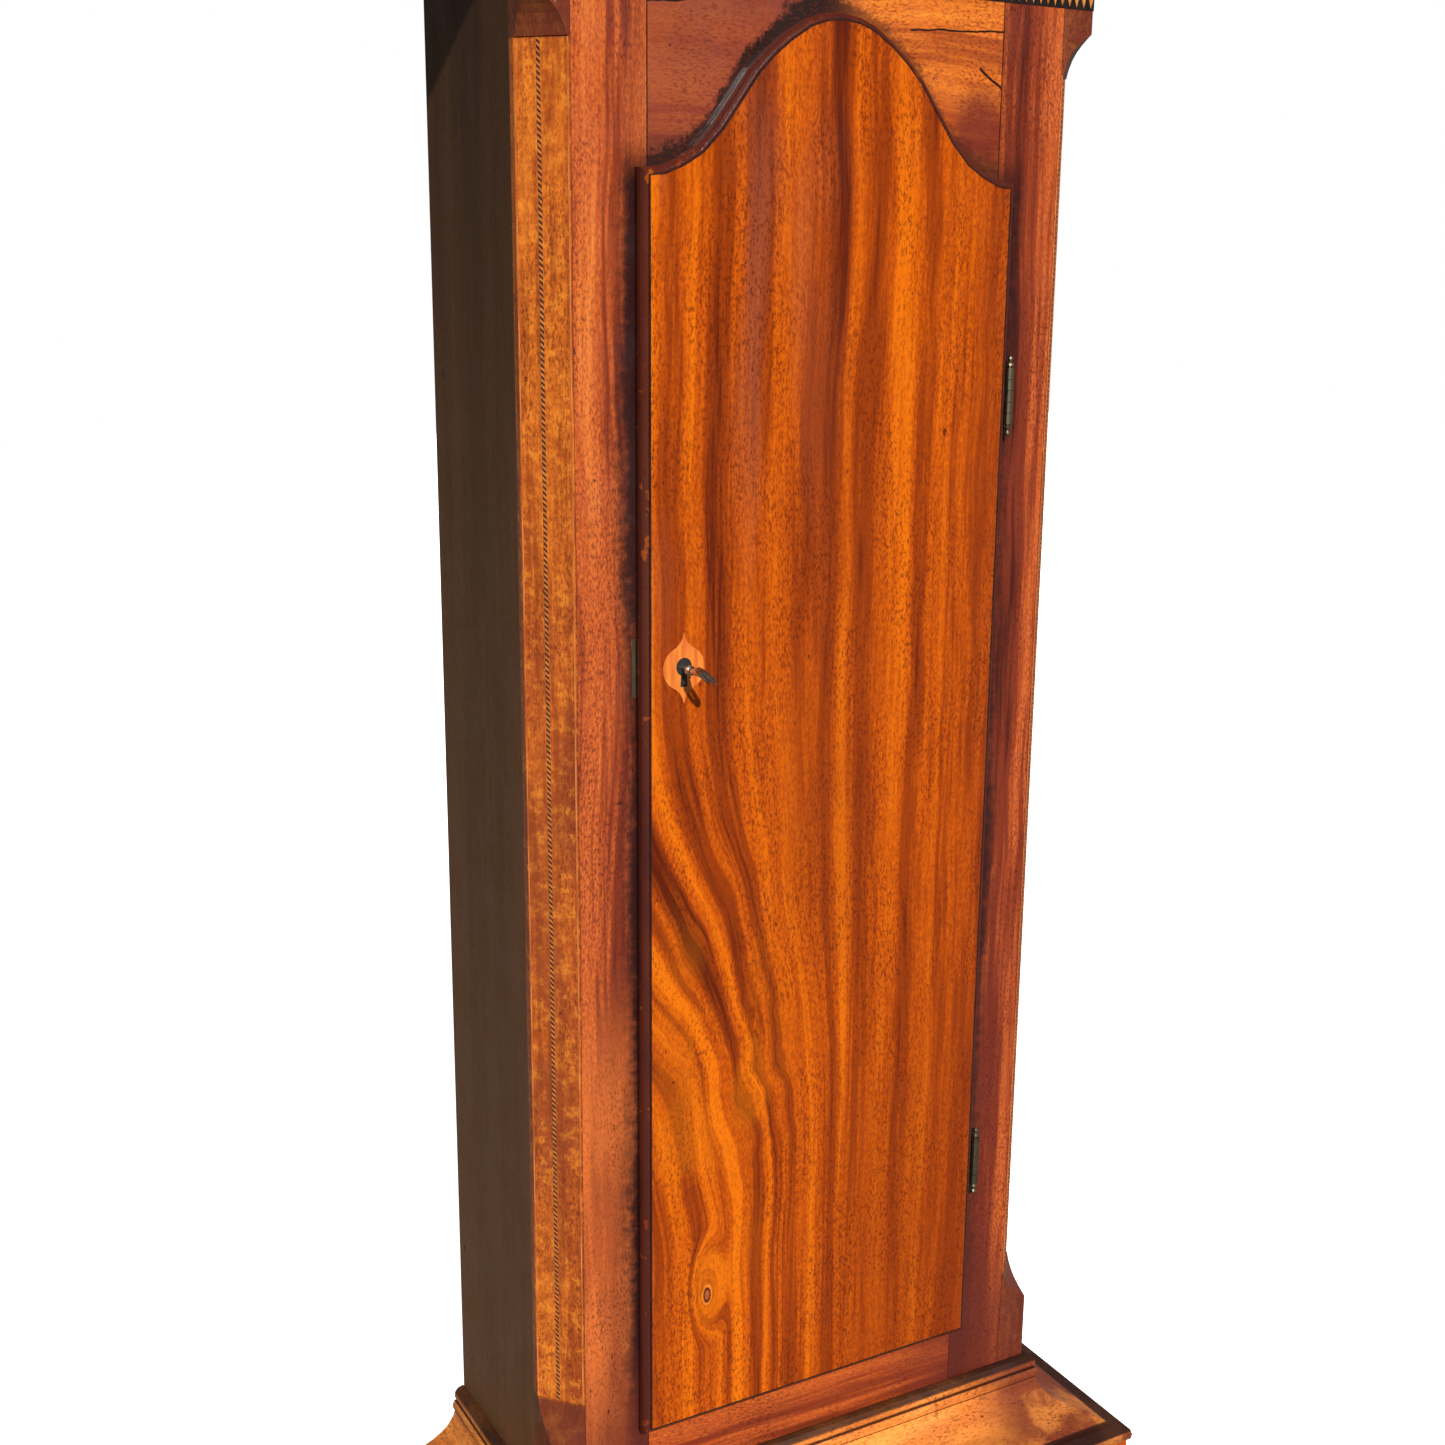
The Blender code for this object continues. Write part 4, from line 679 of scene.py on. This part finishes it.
def dress(names, material, bevel=0, smooth=30):
    """Give carried-over nodes a material, soft edges and smooth shading."""
    for name in names.split():
        node = NODES[name]
        node.data.materials.clear()
        node.data.materials.append(material)
        node.data.shade_smooth()
        node.data.set_sharp_from_angle(angle=radians(smooth))
        if bevel:
            soften = node.modifiers.new("soften", "BEVEL")
            soften.width = bevel
            soften.segments = 2
            soften.limit_method = "ANGLE"
            soften.angle_limit = radians(40)


def wood(names, name, shades, run, seed, bevel=0.0, smooth=30.0, **looks):
    dress(names, timber(name, shades, run, seed, **looks), bevel, smooth)


def dress_case():
    wood("trunk_door", "door_mahogany", DOOR_SHADES, "z", 0.0, 0.0, 24, stripe=38, rough=0.27, coat=0.1,
         gloss=0.12, bend=door_bend, stripes=DOOR_STRIPES, shade=door_shade, rim=DOOR_LOW.y)
    for side, stile, post, shades in (("left", 1.7, 2.4, GOLD_MAHOGANY), ("right", 5.3, 7.9, RED_MAHOGANY)):
        wood(f"{side}_stile", f"{side}_stile_mahogany", RED_MAHOGANY, "z", stile, 0.0003, shade=stile_shade)
        wood(f"{side}_corner_post", f"{side}_post_mahogany", shades, "z", post, shade=post_shade)
    wood("trunk_top_rail", "top_rail_mahogany", GOLD_MAHOGANY, "x", 3.3, 0.0003, shade=rail_shade)
    wood("trunk_bottom_rail", "bottom_rail_mahogany", MAHOGANY, "x", 4.1, 0.0003, shade=foot_rail_shade)
    wood("trunk_left_side trunk_right_side base_left_side base_right_side", "side_board", BROWN_BLACK, "z",
         9.2, 0.0006, rough=0.42, coat=0.0, gloss=0.14, specks=0.25, shade=side_shade)
    wood("waist_moulding", "waist_mahogany", MAHOGANY, "x", 6.6, shade=moulding_shade, mitred=True)
    wood("throat_moulding plinth_moulding hood_base_frame", "moulding_mahogany", MAHOGANY, "x", 8.2,
         mitred=True)
    wood("base_front_panel", "base_mahogany", DOOR_SHADES, "z", 11.3, 0.0006, stripe=24, wander=0.06)
    wood("front_left_foot front_right_foot rear_left_foot rear_right_foot", "foot_mahogany", RED_MAHOGANY,
         "x", 12.7, 0.0008, mitred=True)
    wood("hood_left_side hood_right_side", "hood_mahogany", MAHOGANY, "z", 14.9)
    wood("hood_pediment", "pediment_mahogany", MAHOGANY, "x", 16.1, mitred=True)
    wood("hood_door_frame", "hood_door_mahogany", RED_MAHOGANY, "z", 17.8, 0.0008)
    wood("left_column right_column", "column_mahogany", RED_MAHOGANY, "z", 19.4, 0.0, 50)
    wood("backboard", "oak_back", OLD_OAK, "z", 21.0, 0.0006, rough=0.6, coat=0.0, shade=board_shade)
    wood("seatboard hood_roof", "oak_board", OLD_OAK, "x", 22.0, 0.0006, rough=0.6, coat=0.0)
    wood("hood_mask", "mask_wood", RED_MAHOGANY, "z", 23.0, rough=0.5, coat=0.0)


# Length of a pendulum that beats seconds
SECONDS_PENDULUM = 0.994


def dress_metal():
    bob = (0.0, JOINTS["pendulum_swing"]["pos_m"][2] - SECONDS_PENDULUM)
    dress("upper_hinge_fixed_leaf lower_hinge_fixed_leaf upper_hinge_door_leaf lower_hinge_door_leaf",
          metal("old_brass", (0.36, 0.31, 0.2), (0.07, 0.058, 0.04), 0.34, spots=0.8))
    dress("door_key", metal("old_iron", (0.48, 0.4, 0.34), (0.12, 0.09, 0.07), 0.24, spots=0.7), 0, 50)
    brass = metal("clock_brass", (0.7, 0.48, 0.17), (0.42, 0.26, 0.08), 0.26)
    dress("front_plate back_plate", brass, 0.0002)
    dress("great_wheel centre_wheel third_wheel escape_wheel going_barrel strike_barrel going_pulley"
          " strike_pulley", brass)
    dress("dial", matted_brass("matted_brass"))
    dress("bell", metal("bell_metal", (0.56, 0.44, 0.23), (0.3, 0.22, 0.11), 0.22), 0, 50)
    dress("centre_finial", metal("finial_brass", (0.74, 0.51, 0.19), (0.4, 0.24, 0.08), 0.22), 0, 50)
    dress("hammer pallets lock_bolt pendulum_rod",
          metal("bright_steel", (0.52, 0.52, 0.53), (0.22, 0.2, 0.18), 0.3))
    dress("minute_hand hour_hand", metal("blued_steel", (0.02, 0.028, 0.065), (0.008, 0.008, 0.012), 0.22),
          0.00015)
    dress("pendulum_bob", metal("bob_brass", (0.7, 0.48, 0.17), (0.38, 0.23, 0.07), 0.24, spun=bob),
          0.0, 40)
    dress("going_weight strike_weight",
          metal("dull_lead", (0.15, 0.15, 0.155), (0.07, 0.068, 0.066), 0.55, spots=0.8), 0, 40)
    dress("hood_door_glass", pane("hood_pane"))
    dress("going_line strike_line", twisted_gut("twisted_gut"))


# ------ trunk details

# How far an inlay stands proud of its ground
PATCH = 0.0003
# Size of a chamfer along the trunk's side and along its front
CHAMFER_DEPTH, CHAMFER_WIDTH = 0.0228, 0.0208
# Heights over the trunk's foot between which the chamfers run
STOPS = (0.068, 0.844)


def mirrored(outline):
    return [(-x, z) for x, z in reversed(outline)]


def rectangle(x0, x1, z0, z1):
    return [(x0, z0), (x1, z0), (x1, z1), (x0, z1)]


def shifted(outline, x, z):
    return [(px + x, pz + z) for px, pz in outline]


def on_side(mesh, side):
    """Turn a piece made for the front plane onto a side of the trunk; side is -1 or 1."""
    turn = Matrix.Rotation(side * pi / 2, 4, "Z")
    mesh.transform(Matrix.Translation((side * TRUNK_HALF, 0.0, 0.0)) @ turn)
    return mesh


def sawtooth_band(light, dark):
    """Light triangles on black under the throat moulding, across the front and round both corners."""
    low, high = TRUNK_TOP - 0.0095, TRUNK_TOP - 0.0002

    def teeth(start, pitch, count):
        return slab([[(start + i * pitch, high), (start + (i + 1) * pitch, high),
                      (start + (i + 0.5) * pitch, low + 0.001)] for i in range(count)],
                    -PATCH * 1.5, PATCH / 2)

    def ground(start, end):
        return slab([rectangle(start, end, low, high)], -PATCH, PATCH)

    count = round(2 * TRUNK_HALF / 0.00525)
    grounds = [ground(-TRUNK_HALF, TRUNK_HALF)]
    points = [teeth(-TRUNK_HALF, 2 * TRUNK_HALF / count, count)]
    for mesh in (grounds[0], points[0]):
        mesh.transform(Matrix.Translation((0.0, TRUNK_Y, 0.0)))
    for side, start in ((-1, 0.0115), (1, -0.038)):
        grounds.append(on_side(ground(start, start + 0.0265), side))
        points.append(on_side(teeth(start, 0.0053, 5), side))
    keep_mesh("sawtooth_ground", grounds, dark)
    keep_mesh("sawtooth_points", points, light)


def chamfer_strip(side, share, width, low, high):
    """A strip let into a chamfer; share is measured from the outer arris to the front one."""
    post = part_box("right_corner_post")
    outer = Vector((post[1].x, post[0].y + CHAMFER_DEPTH, 0.0))
    front = Vector((post[1].x - CHAMFER_WIDTH, post[0].y, 0.0))
    along = (front - outer).normalized()
    out = Vector((CHAMFER_DEPTH, -CHAMFER_WIDTH, 0.0)).normalized()
    middle = outer + (front - outer) * share
    verts = []
    for z in (low, high):
        for across, lift in ((-1, 0.0), (1, 0.0), (1, PATCH), (-1, PATCH)):
            point = middle + along * (across * width / 2) + out * lift
            verts.append((side * point.x, point.y, z))
    faces = [(0, 1, 2, 3), (4, 5, 6, 7), (0, 1, 5, 4), (1, 2, 6, 5), (2, 3, 7, 6), (3, 0, 4, 7)]
    return mesh_from(verts, faces)


def stringing(worn, pole):
    """Barber-pole stringing down each chamfer and a light line on each arris."""
    low, high = TRUNK_FOOT + STOPS[0], TRUNK_FOOT + STOPS[1]
    for side, name in SIDES:
        keep_mesh(f"{name}_stringing", chamfer_strip(side, 0.45, 0.002, low, high), pole)
        arrises = ((0.025, 0.0006), (0.975, 0.0008))
        strips = [chamfer_strip(side, share, width, low, high) for share, width in arrises]
        keep_mesh(f"{name}_arris_lines", strips, worn)


def escutcheon(plate, hole):
    """Boxwood plate with a point above and below, round the keyhole."""
    low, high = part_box("door_key")
    x, z = (low.x + high.x) / 2, (low.z + high.z) / 2
    edge = [(0.0, 0.0205), (0.0009, 0.017), (0.0025, 0.0142), (0.0048, 0.012), (0.0077, 0.0102)]
    arc = [polar((0.0, 0.0), 0.013, 90 - a) for a in range(48, 133, 7)]
    half = edge + arc + [(px, -pz) for px, pz in reversed(edge)]
    outline = half + mirrored(half[1:-1])
    face = DOOR_LOW.y
    keep_mesh("escutcheon", slab([shifted(outline, x, z)], face - PATCH, PATCH), plate, "trunk_door")
    # The keyhole is a black patch on the door: painted shade where the real keyhole opens.
    slot = [(0.0022, -0.0105), (0.0018, -0.003)]
    top = [(0.0048 * sin(radians(a)), 0.0008 + 0.0052 * cos(radians(a))) for a in range(155, -156, -10)]
    keyhole = shifted(slot + top + mirrored(slot), x, z)
    keep_mesh("keyhole", slab([keyhole], face - PATCH * 1.4, PATCH * 0.4), hole, "trunk_door")


def lock_case(iron, brass):
    """Iron lock behind the door, open towards the stile for its bolt, and the striking plate."""
    low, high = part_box("lock_bolt")
    back = DOOR_HIGH.y
    x0, x1 = low.x - 0.0002, high.x + 0.006
    z0, z1 = low.z - 0.014, high.z + 0.014
    above, below = high.z + 0.001, low.z - 0.001
    shell = [(x0, z0), (x1, z0), (x1, z1), (x0, z1), (x0, above), (x1 - 0.004, above), (x1 - 0.004, below),
             (x0, below)]
    parts = [slab([shell], back + 0.0001, 0.01), slab([rectangle(x0, x1, z0, z1)], back + 0.0101, 0.0012)]
    keep_mesh("lock_case", parts, iron, "trunk_door")
    plate = rectangle(-DOOR_HIGH.x - 0.0026, -DOOR_HIGH.x - 0.0005, low.z - 0.008, high.z + 0.009)
    keep_mesh("striking_plate", slab([plate], TRUNK_Y - PATCH, PATCH), brass, "case")


def quirk_line(dark):
    """The dark quirk between the door's flat field and its rounded edge: a line of grime and painted shade.
    """
    key = JOINTS["key_turn"]["pos_m"]
    field = [v.co for v in NODES["trunk_door"].data.vertices if v.co.y < DOOR_LOW.y + 0.00001]
    rim = [(c.x, c.z) for c in field if hypot(c.x - key[0], c.z - key[2]) > 0.012]
    middle = DOOR_HIGH.z - 0.2
    rim = sorted(set(rim), key=lambda p: atan2(p[1] - middle, p[0]))
    y = DOOR_LOW.y + 0.0002
    path = []
    for (x0, z0), (x1, z1) in zip(rim, rim[1:] + rim[:1]):
        steps = max(1, round(hypot(x1 - x0, z1 - z0) / 0.02))
        path += [(x0 + (x1 - x0) * i / steps, y, z0 + (z1 - z0) * i / steps) for i in range(steps)]
    path = [p for p, q in zip(path, path[1:] + path[:1]) if (Vector(p) - Vector(q)).length > 0.0003]
    keep_mesh("door_quirk", tube(path + path[:1], 0.0006, 6), dark, "trunk_door")


def hinge_screws():
    """Small screws on the door leaves."""
    screws = []
    for name in ("upper_hinge_door_leaf", "lower_hinge_door_leaf"):
        low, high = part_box(name)
        for off in (-0.005, 0.005):
            spot = (DOOR_HIGH.x - 0.0035, (low.z + high.z) / 2 + off)
            screws.append(turning(spot, "y", low.y, [(0, 0.0014), (-0.0002, 0.0012)], 16))
    return screws


def base_inlay(light, dark):
    """Rectangle of stringing with hollow corners on the base panel."""
    low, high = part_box("base_front_panel")
    middle = (low.z + high.z) / 2 + 0.01
    half_x, half_z = high.x - 0.038, (high.z - low.z) / 2 - 0.052

    def outline(inset, bite):
        points = []
        for sx, sz in ((1, 1), (1, -1), (-1, -1), (-1, 1)):
            curve = [polar((0.0, 0.0), bite, i * 90 / 8) for i in range(9)]
            hollow = [(sx * (half_x - inset - x), middle + sz * (half_z - inset - z)) for x, z in curve]
            points += hollow if sx * sz > 0 else hollow[::-1]
        return points

    edges = [outline(0.0, 0.018), outline(0.0016, 0.0172), outline(0.003, 0.0165)]
    keep_mesh("base_light_line", slab(edges[:2], low.y - PATCH, PATCH), light)
    keep_mesh("base_dark_line", slab(edges[1:], low.y - PATCH, PATCH), dark)


# ------ hood details

def hood_details(brass, light, dark):
    """Brass column mounts, scroll rosettes, a light line round the glass and the hood door's plate."""
    for name in ("left_column", "right_column"):
        low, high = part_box(name)
        centre = ((low.x + high.x) / 2, (low.y + high.y) / 2)
        radius = (high.y - low.y) / 2
        profile = [(0, radius + 0.0002), (0.0015, radius + 0.0006), (0.003, radius + 0.0002),
                   (0.009, radius - 0.0006), (0.0105, radius + 0.0004), (0.012, radius)]
        for z, label in ((low.z + 0.002, "base"), (high.z - 0.014, "capital")):
            keep_mesh(f"{name}_{label}", turning(centre, "z", z, profile, 32), brass, "hood", 40)
    low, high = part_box("hood_pediment")
    flower = [(0, 0.0165), (-0.002, 0.016), (-0.0026, 0.0135), (-0.001, 0.012), (-0.0012, 0.007),
              (-0.004, 0.0052), (-0.0056, 0.0008)]
    for side, label in SIDES:
        centre = (side * 0.056, high.z - 0.02)
        parts = [turning(centre, "y", low.y, flower, 32)]
        for i in range(8):
            spot = polar(centre, 0.0095, 45 * i)
            parts.append(turning(spot, "y", low.y, [(0, 0.0028), (-0.0022, 0.0022), (-0.003, 0.0006)], 12))
        keep_mesh(f"{label}_rosette", parts, brass, "hood", 40)
    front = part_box("hood_door_frame")[0].y
    spot = (-(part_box("hood_door_glass")[1].x + 0.01), 1.7)
    plate = turning(spot, "y", front, [(0, 0.007), (-0.0008, 0.0066)], 32)
    keep_mesh("hood_door_plate", plate, brass, "hood_door")
    # Black disc for the keyhole: painted shade inside it.
    hole = turning(spot, "y", front, [(-0.0008, 0.0018), (-0.001, 0.0018)], 16)
    keep_mesh("hood_door_keyhole", hole, dark, "hood_door")
    line = [hood_arch(0.1525, 0.115, 1.566), hood_arch(0.1511, 0.1136, 1.5674)]
    keep_mesh("hood_door_line", slab(line, front - PATCH, PATCH), light, "hood_door")


def hood_arch(half, radius, low, spring=1.858):
    """Break-arch outline: a rectangle with shoulders and a round top."""
    arc = [polar((0.0, spring - 0.004), radius, 180 * i / 32) for i in range(1, 32)]
    return [(-half, low), (half, low), (half, spring), (radius, spring), *arc, (-radius, spring),
            (-half, spring)]


# ------ dial

# Thickness of the dial's rings, the y of their front, and the height of a numeral's serif
RING = 0.0012
DIAL_FACE = DIAL_Y - RING
SERIF = 0.0006
# Middle of the boss in the dial's arch
BOSS = (0.0, 1.905)


def stroke(u0, v0, u1, v1, width):
    """A straight pen stroke with flat ends, level with the numeral's top and bottom."""
    return [(u0 - width / 2, v0), (u0 + width / 2, v0), (u1 + width / 2, v1), (u1 - width / 2, v1)]


def numeral(text, height, thick, thin):
    """Outlines of a Roman numeral, centred on the origin."""
    widths = {"I": thick + 0.0022, "V": height * 0.52, "X": height * 0.56}
    total = sum(widths[c] for c in text)
    u = -total / 2
    low, high = -height / 2, height / 2
    # Foot and head of every stroke as shares of the letter's reach, its width and a nudge of its foot
    strokes = {"I": ((0, 0, thick, 0.0),), "V": ((0, -1, thick, 0.0), (0, 1, thin, 0.0003)),
               "X": ((1, -1, thick, 0.0), (-1, 1, thin, 0.0))}
    outlines = []
    for c in text:
        centre = u + widths[c] / 2
        reach = widths[c] / 2 - thick / 2 - SERIF
        for foot, head, width, nudge in strokes[c]:
            start = centre + foot * reach + nudge
            outlines.append(stroke(start, low, centre + head * reach, high, width))
        u += widths[c]
    for v in (low, high - SERIF):
        outlines.append(rectangle(-total / 2, total / 2, v, v + SERIF))
    return outlines


def placed(outline, centre, angle, radius):
    """Stand an outline on a circle, its top outward; the angle is clockwise from twelve."""
    s, c = sin(radians(angle)), cos(radians(angle))
    x, z = centre
    return [(x + (radius + v) * s + u * c, z + (radius + v) * c - u * s) for u, v in outline]


def solid_strokes(outlines, y, thick):
    """Each outline as its own small plate, so that crossing strokes don't cut holes in each other."""
    return merged([slab([outline], y, thick) for outline in outlines])


def dial_rings(silver, wax_and_hole_shade):
    """Chapter ring with Roman hours and a minute track, and the seconds ring."""
    centre, seconds = (0.0, CENTRE_Z), (0.0, SECONDS_Z)
    hours = ring(centre, 0.137, 0.095, DIAL_FACE, RING, 128, 96)
    keep_mesh("chapter_ring", hours, silver, "case")
    small = ring(seconds, 0.0285, 0.018, DIAL_FACE, RING, 64, 48)
    keep_mesh("seconds_ring", small, silver, "case")
    marks = []
    for hour, text in enumerate("XII I II III IIII V VI VII VIII IX X XI".split()):
        marks += [placed(o, centre, 30 * hour, 0.113) for o in numeral(text, 0.0225, 0.0026, 0.0009)]
        diamond = [(0.0, 0.0035), (0.0014, 0.0), (0.0, -0.0035), (-0.0014, 0.0)]
        marks.append(placed(diamond, centre, 30 * hour + 15, 0.099))
    for i in range(60):
        half, length = (0.00055, 0.0042) if i % 5 == 0 else (0.00025, 0.0025)
        marks.append(placed(rectangle(-half, half, 0.0, 0.004), centre, 6 * i, 0.129))
        marks.append(placed(rectangle(-0.00025, 0.00025, -length, 0.0), seconds, 6 * i, 0.0275))
    parts = [solid_strokes(marks, DIAL_FACE - 0.00015, 0.00015)]
    for middle, radius in ((centre, 0.129), (centre, 0.1332), (centre, 0.0965), (seconds, 0.0277)):
        parts.append(ring(middle, radius + 0.0002, radius - 0.0002, DIAL_FACE - 0.00012, 0.00012, 96))
    keep_mesh("dial_marks", parts, wax_and_hole_shade)


def spiral(centre, start, turns, large, small, flip=1):
    """A rod rolled up in a scroll that closes inward, from a start angle in radians."""
    points = []
    steps = 26
    for i in range(steps + 1):
        share = i / steps
        a = start + flip * turns * 2 * pi * share
        radius = large + (small - large) * share
        points.append((centre[0] + radius * cos(a), DIAL_FACE, centre[1] + radius * sin(a)))
    return points


def spandrels(brass, silver):
    """Cast scroll ornaments in the four corners, and a boss between two scrolls in the arch."""
    y = DIAL_FACE
    parts = []
    mask = [(0.001, 0.0085), (-0.0012, 0.0078), (-0.003, 0.005), (-0.0036, 0.0015)]
    for sx, sz in ((-1, -1), (-1, 1), (1, -1), (1, 1)):
        x, z = sx * (DIAL_HALF - 0.01), CENTRE_Z + sz * (DIAL_HALF - 0.01)
        for dx, dz, lead in ((0.034, 0.009, 1), (0.009, 0.034, -1)):
            turn = atan2(sz * (dz - 0.005), sx * (dx - 0.005))
            scroll = spiral((x - sx * dx, z - sz * dz), turn, 1.35, 0.0085, 0.002, sx * sz * lead)
            parts.append(tube(scroll, 0.0016, 6))
            parts.append(tube([(x - sx * dx * k, y, z - sz * dz * k) for k in (0.05, 0.25, 0.45, 0.7)],
                              0.0015, 6))
        centre = (x - sx * 0.013, z - sz * 0.013)
        parts.append(turning(centre, "y", y, mask, 20))
        for k in range(5):
            a = degrees(atan2(-sz, -sx)) - 60 + 30 * k
            leaf = [polar(centre, r, a) for r in (0.006, 0.011, 0.016)]
            parts.append(tube([(u, y - 0.0004, v) for u, v in leaf], 0.0013, 6))
    for side in (-1, 1):
        start = 0.0 if side < 0 else pi
        for x, z, large in ((0.066, 1.885, 0.0135), (0.05, 1.927, 0.009)):
            parts.append(tube(spiral((side * x, z), start, 1.5, large, 0.0025, side), 0.0018, 6))
        leafy = ((0.093, 1.868), (0.082, 1.88), (0.076, 1.898), (0.064, 1.912), (0.05, 1.916))
        parts.append(tube([(side * x, y, z) for x, z in leafy], 0.0019, 6))
    parts.append(ring(BOSS, 0.0385, 0.033, y - 0.001, 0.0022))
    keep_mesh("spandrels", parts, brass, "case", 50)
    disc = [(0.0012, 0.033), (0, 0.033), (-0.0012, 0.026), (-0.0016, 0.0005)]
    keep_mesh("arch_boss", turning(BOSS, "y", y, disc, 64), silver, "case", 50)
    petal = [(0.0, -0.009), (0.003, 0.0), (0.0, 0.007), (-0.003, 0.0)]
    petals = [placed(petal, BOSS, 30 * i, 0.015) for i in range(12)]
    keep_mesh("boss_petals", solid_strokes(petals, y - 0.0022, 0.001), brass, "case")
    z = JOINTS["great_arbor"]["pos_m"][2]
    bezels = [ring((x, z), 0.0078, 0.0056, DIAL_Y - 0.0008, 0.0008, 32) for x in (-0.04, 0.04)]
    keep_mesh("winding_bezels", bezels, brass, "case")


# ------ lines

def lines(gut):
    """Gut lines: straight falls, and the loop under each pulley."""
    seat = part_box("seatboard")
    top = seat[1].z
    for name, barrel in (("going", "great_arbor"), ("strike", "strike_wind")):
        low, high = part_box(f"{name}_line")
        pulley_low, pulley_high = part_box(f"{name}_pulley")
        y = (low.y + high.y) / 2
        radius = (high.y - low.y) / 2
        middle = (pulley_low.x + pulley_high.x) / 2
        arm = (high.x - low.x) / 2 - radius
        axle = (pulley_low.z + pulley_high.z) / 2
        for side, label in SIDES:
            x = middle + side * arm
            rod = tube([(x, y, axle + (high.z - axle) * i / 40) for i in range(41)], radius, 8)
            fall = keep_mesh(f"{name}_line_{label}", rod, gut, "case", 60)
            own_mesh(fall)
            if side < 0:
                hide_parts(f"{name}_line")
        bend = [polar((middle, axle), arm, a) for a in range(180, 361, 10)]
        loop = tube([(x, y, z) for x, z in bend], radius, 8)
        keep_mesh(f"{name}_line_loop", loop, gut, f"{name}_weight", 60)
        first, last = middle - arm, middle + arm
        end = JOINTS[barrel]["pos_m"][2] - 0.004
        up = tube([(first, y, top - 0.022), (first, y, end)], radius, 8)
        tied = tube([(last, y, seat[0].z), (last, y, top + 0.004)], radius, 8)
        knot = turning((last, y), "z", top, [(0.0004, 0.003), (0.003, 0.0034), (0.0052, 0.0012)], 12)
        keep_mesh(f"{name}_line_top", [up, tied, knot], gut, "case", 60)


# ------ scene

def camera_and_lights():
    """The camera stands left of the clock at chest height and looks down at the trunk."""
    data = bpy.data.cameras.new("camera")
    data.lens = 44.915
    data.sensor_width = 36.0
    camera = new_object("camera", data)
    turn = Matrix()
    for angle, axis in ((-29.216, "Z"), (76.302, "X"), (0.477, "Z")):
        turn = turn @ Matrix.Rotation(radians(angle), 4, axis)
    stand = (-0.5547, TRUNK_Y - 0.8739, TRUNK_FOOT + 0.7247)
    camera.matrix_world = Matrix.Translation(stand) @ turn
    bpy.context.scene.camera = camera
    for name, towards, strength, angle, colour in (
            ("sun", (0.2, 1.0, -0.62), 5.0, 1.5, (1.0, 0.97, 0.92)),
            ("fill", (-0.75, -0.85, -0.7), 1.6, 30.0, (1.0, 1.0, 1.0)),
            ("side", (-1.0, 0.35, -0.4), 0.8, 30.0, (1.0, 1.0, 1.0))):
        lamp = bpy.data.lights.new(name, "SUN")
        lamp.energy = strength
        lamp.angle = radians(angle)
        lamp.color = colour
        light = new_object(name, lamp)
        light.rotation_euler = Vector(towards).to_track_quat("-Z", "Y").to_euler()
        light.visible_glossy = name == "sun"


def white_world():
    """White all round, dimmer as a light than as a backdrop."""
    world = bpy.data.worlds.new("white")
    bpy.context.scene.world = world
    world.use_nodes = True
    nodes, links = world.node_tree.nodes, world.node_tree.links
    back = nodes["Background"]
    back.inputs[0].default_value = (1.0, 1.0, 1.0, 1.0)
    path = nodes.new("ShaderNodeLightPath")
    level = nodes.new("ShaderNodeMapRange")
    level.inputs["To Min"].default_value = 0.1
    links.new(path.outputs["Is Camera Ray"], level.inputs["Value"])
    links.new(level.outputs[0], back.inputs[1])


def pale_floor():
    """A floor that looks white from the camera but lights the clock only dimly."""
    data = bpy.data.meshes.new("floor")
    reach, level = 14.0, -0.0004
    corners = [(x, y, level) for x, y in rectangle(-reach, reach, -reach, reach)]
    data.from_pydata(corners, [], [(0, 1, 2, 3)])
    floor = new_object("floor", data)
    t = Tree("pale_floor", 0.9)
    seen = t.result("ShaderNodeLightPath", "Is Camera Ray")
    t.give("Base Color", t.mix(seen, (0.14, 0.13, 0.12), (0.9, 0.9, 0.9)))
    away = t.math("SQRT", t.x * t.x + t.y * t.y)
    t.give("Emission Color", (1.0, 1.0, 1.0, 1.0))
    t.give("Emission Strength", seen * t.span(away, 0.3, 0.75))
    data.materials.append(t.material)


def main():
    bpy.context.scene.view_settings.view_transform = "Standard"
    camera_and_lights()
    white_world()
    pale_floor()
    dress_case()
    dress_metal()
    light = inlay_wood("boxwood", (0.56, 0.22, 0.05), (0.38, 0.12, 0.026))
    dark = inlay_wood("ebonised", (0.016, 0.009, 0.007), (0.006, 0.004, 0.003))
    worn = inlay_wood("worn_arris", (0.64, 0.21, 0.05), (0.4, 0.095, 0.018))
    plate = inlay_wood("escutcheon_wood", (0.68, 0.2, 0.026), (0.54, 0.115, 0.018))
    # Grime and painted shade for the door's quirk line
    grime_and_shade = inlay_wood("old_grime_and_shade", (0.03, 0.01, 0.007), (0.01, 0.004, 0.003))
    brass = metal("mount_brass", (0.74, 0.51, 0.19), (0.38, 0.24, 0.08), 0.26, spots=0.6)
    old_brass = metal("plate_brass", (0.26, 0.21, 0.12), (0.09, 0.08, 0.06), 0.4, spots=0.8)
    iron = metal("lock_iron", (0.18, 0.17, 0.16), (0.06, 0.052, 0.045), 0.45, spots=0.8)
    silver = silvered("silvered_brass")
    wax_and_hole_shade = black_wax_and_hole_shade("black_wax_and_hole_shade")
    sawtooth_band(light, dark)
    stringing(worn, barber_pole("barber_pole"))
    escutcheon(plate, wax_and_hole_shade)
    quirk_line(grime_and_shade)
    lock_case(iron, old_brass)
    keep_mesh("hinge_screws", hinge_screws(), old_brass, "trunk_door")
    base_inlay(light, dark)
    hood_details(brass, light, wax_and_hole_shade)
    dial_rings(silver, wax_and_hole_shade)
    spandrels(brass, silver)
    lines(twisted_gut("gut_line"))


main()
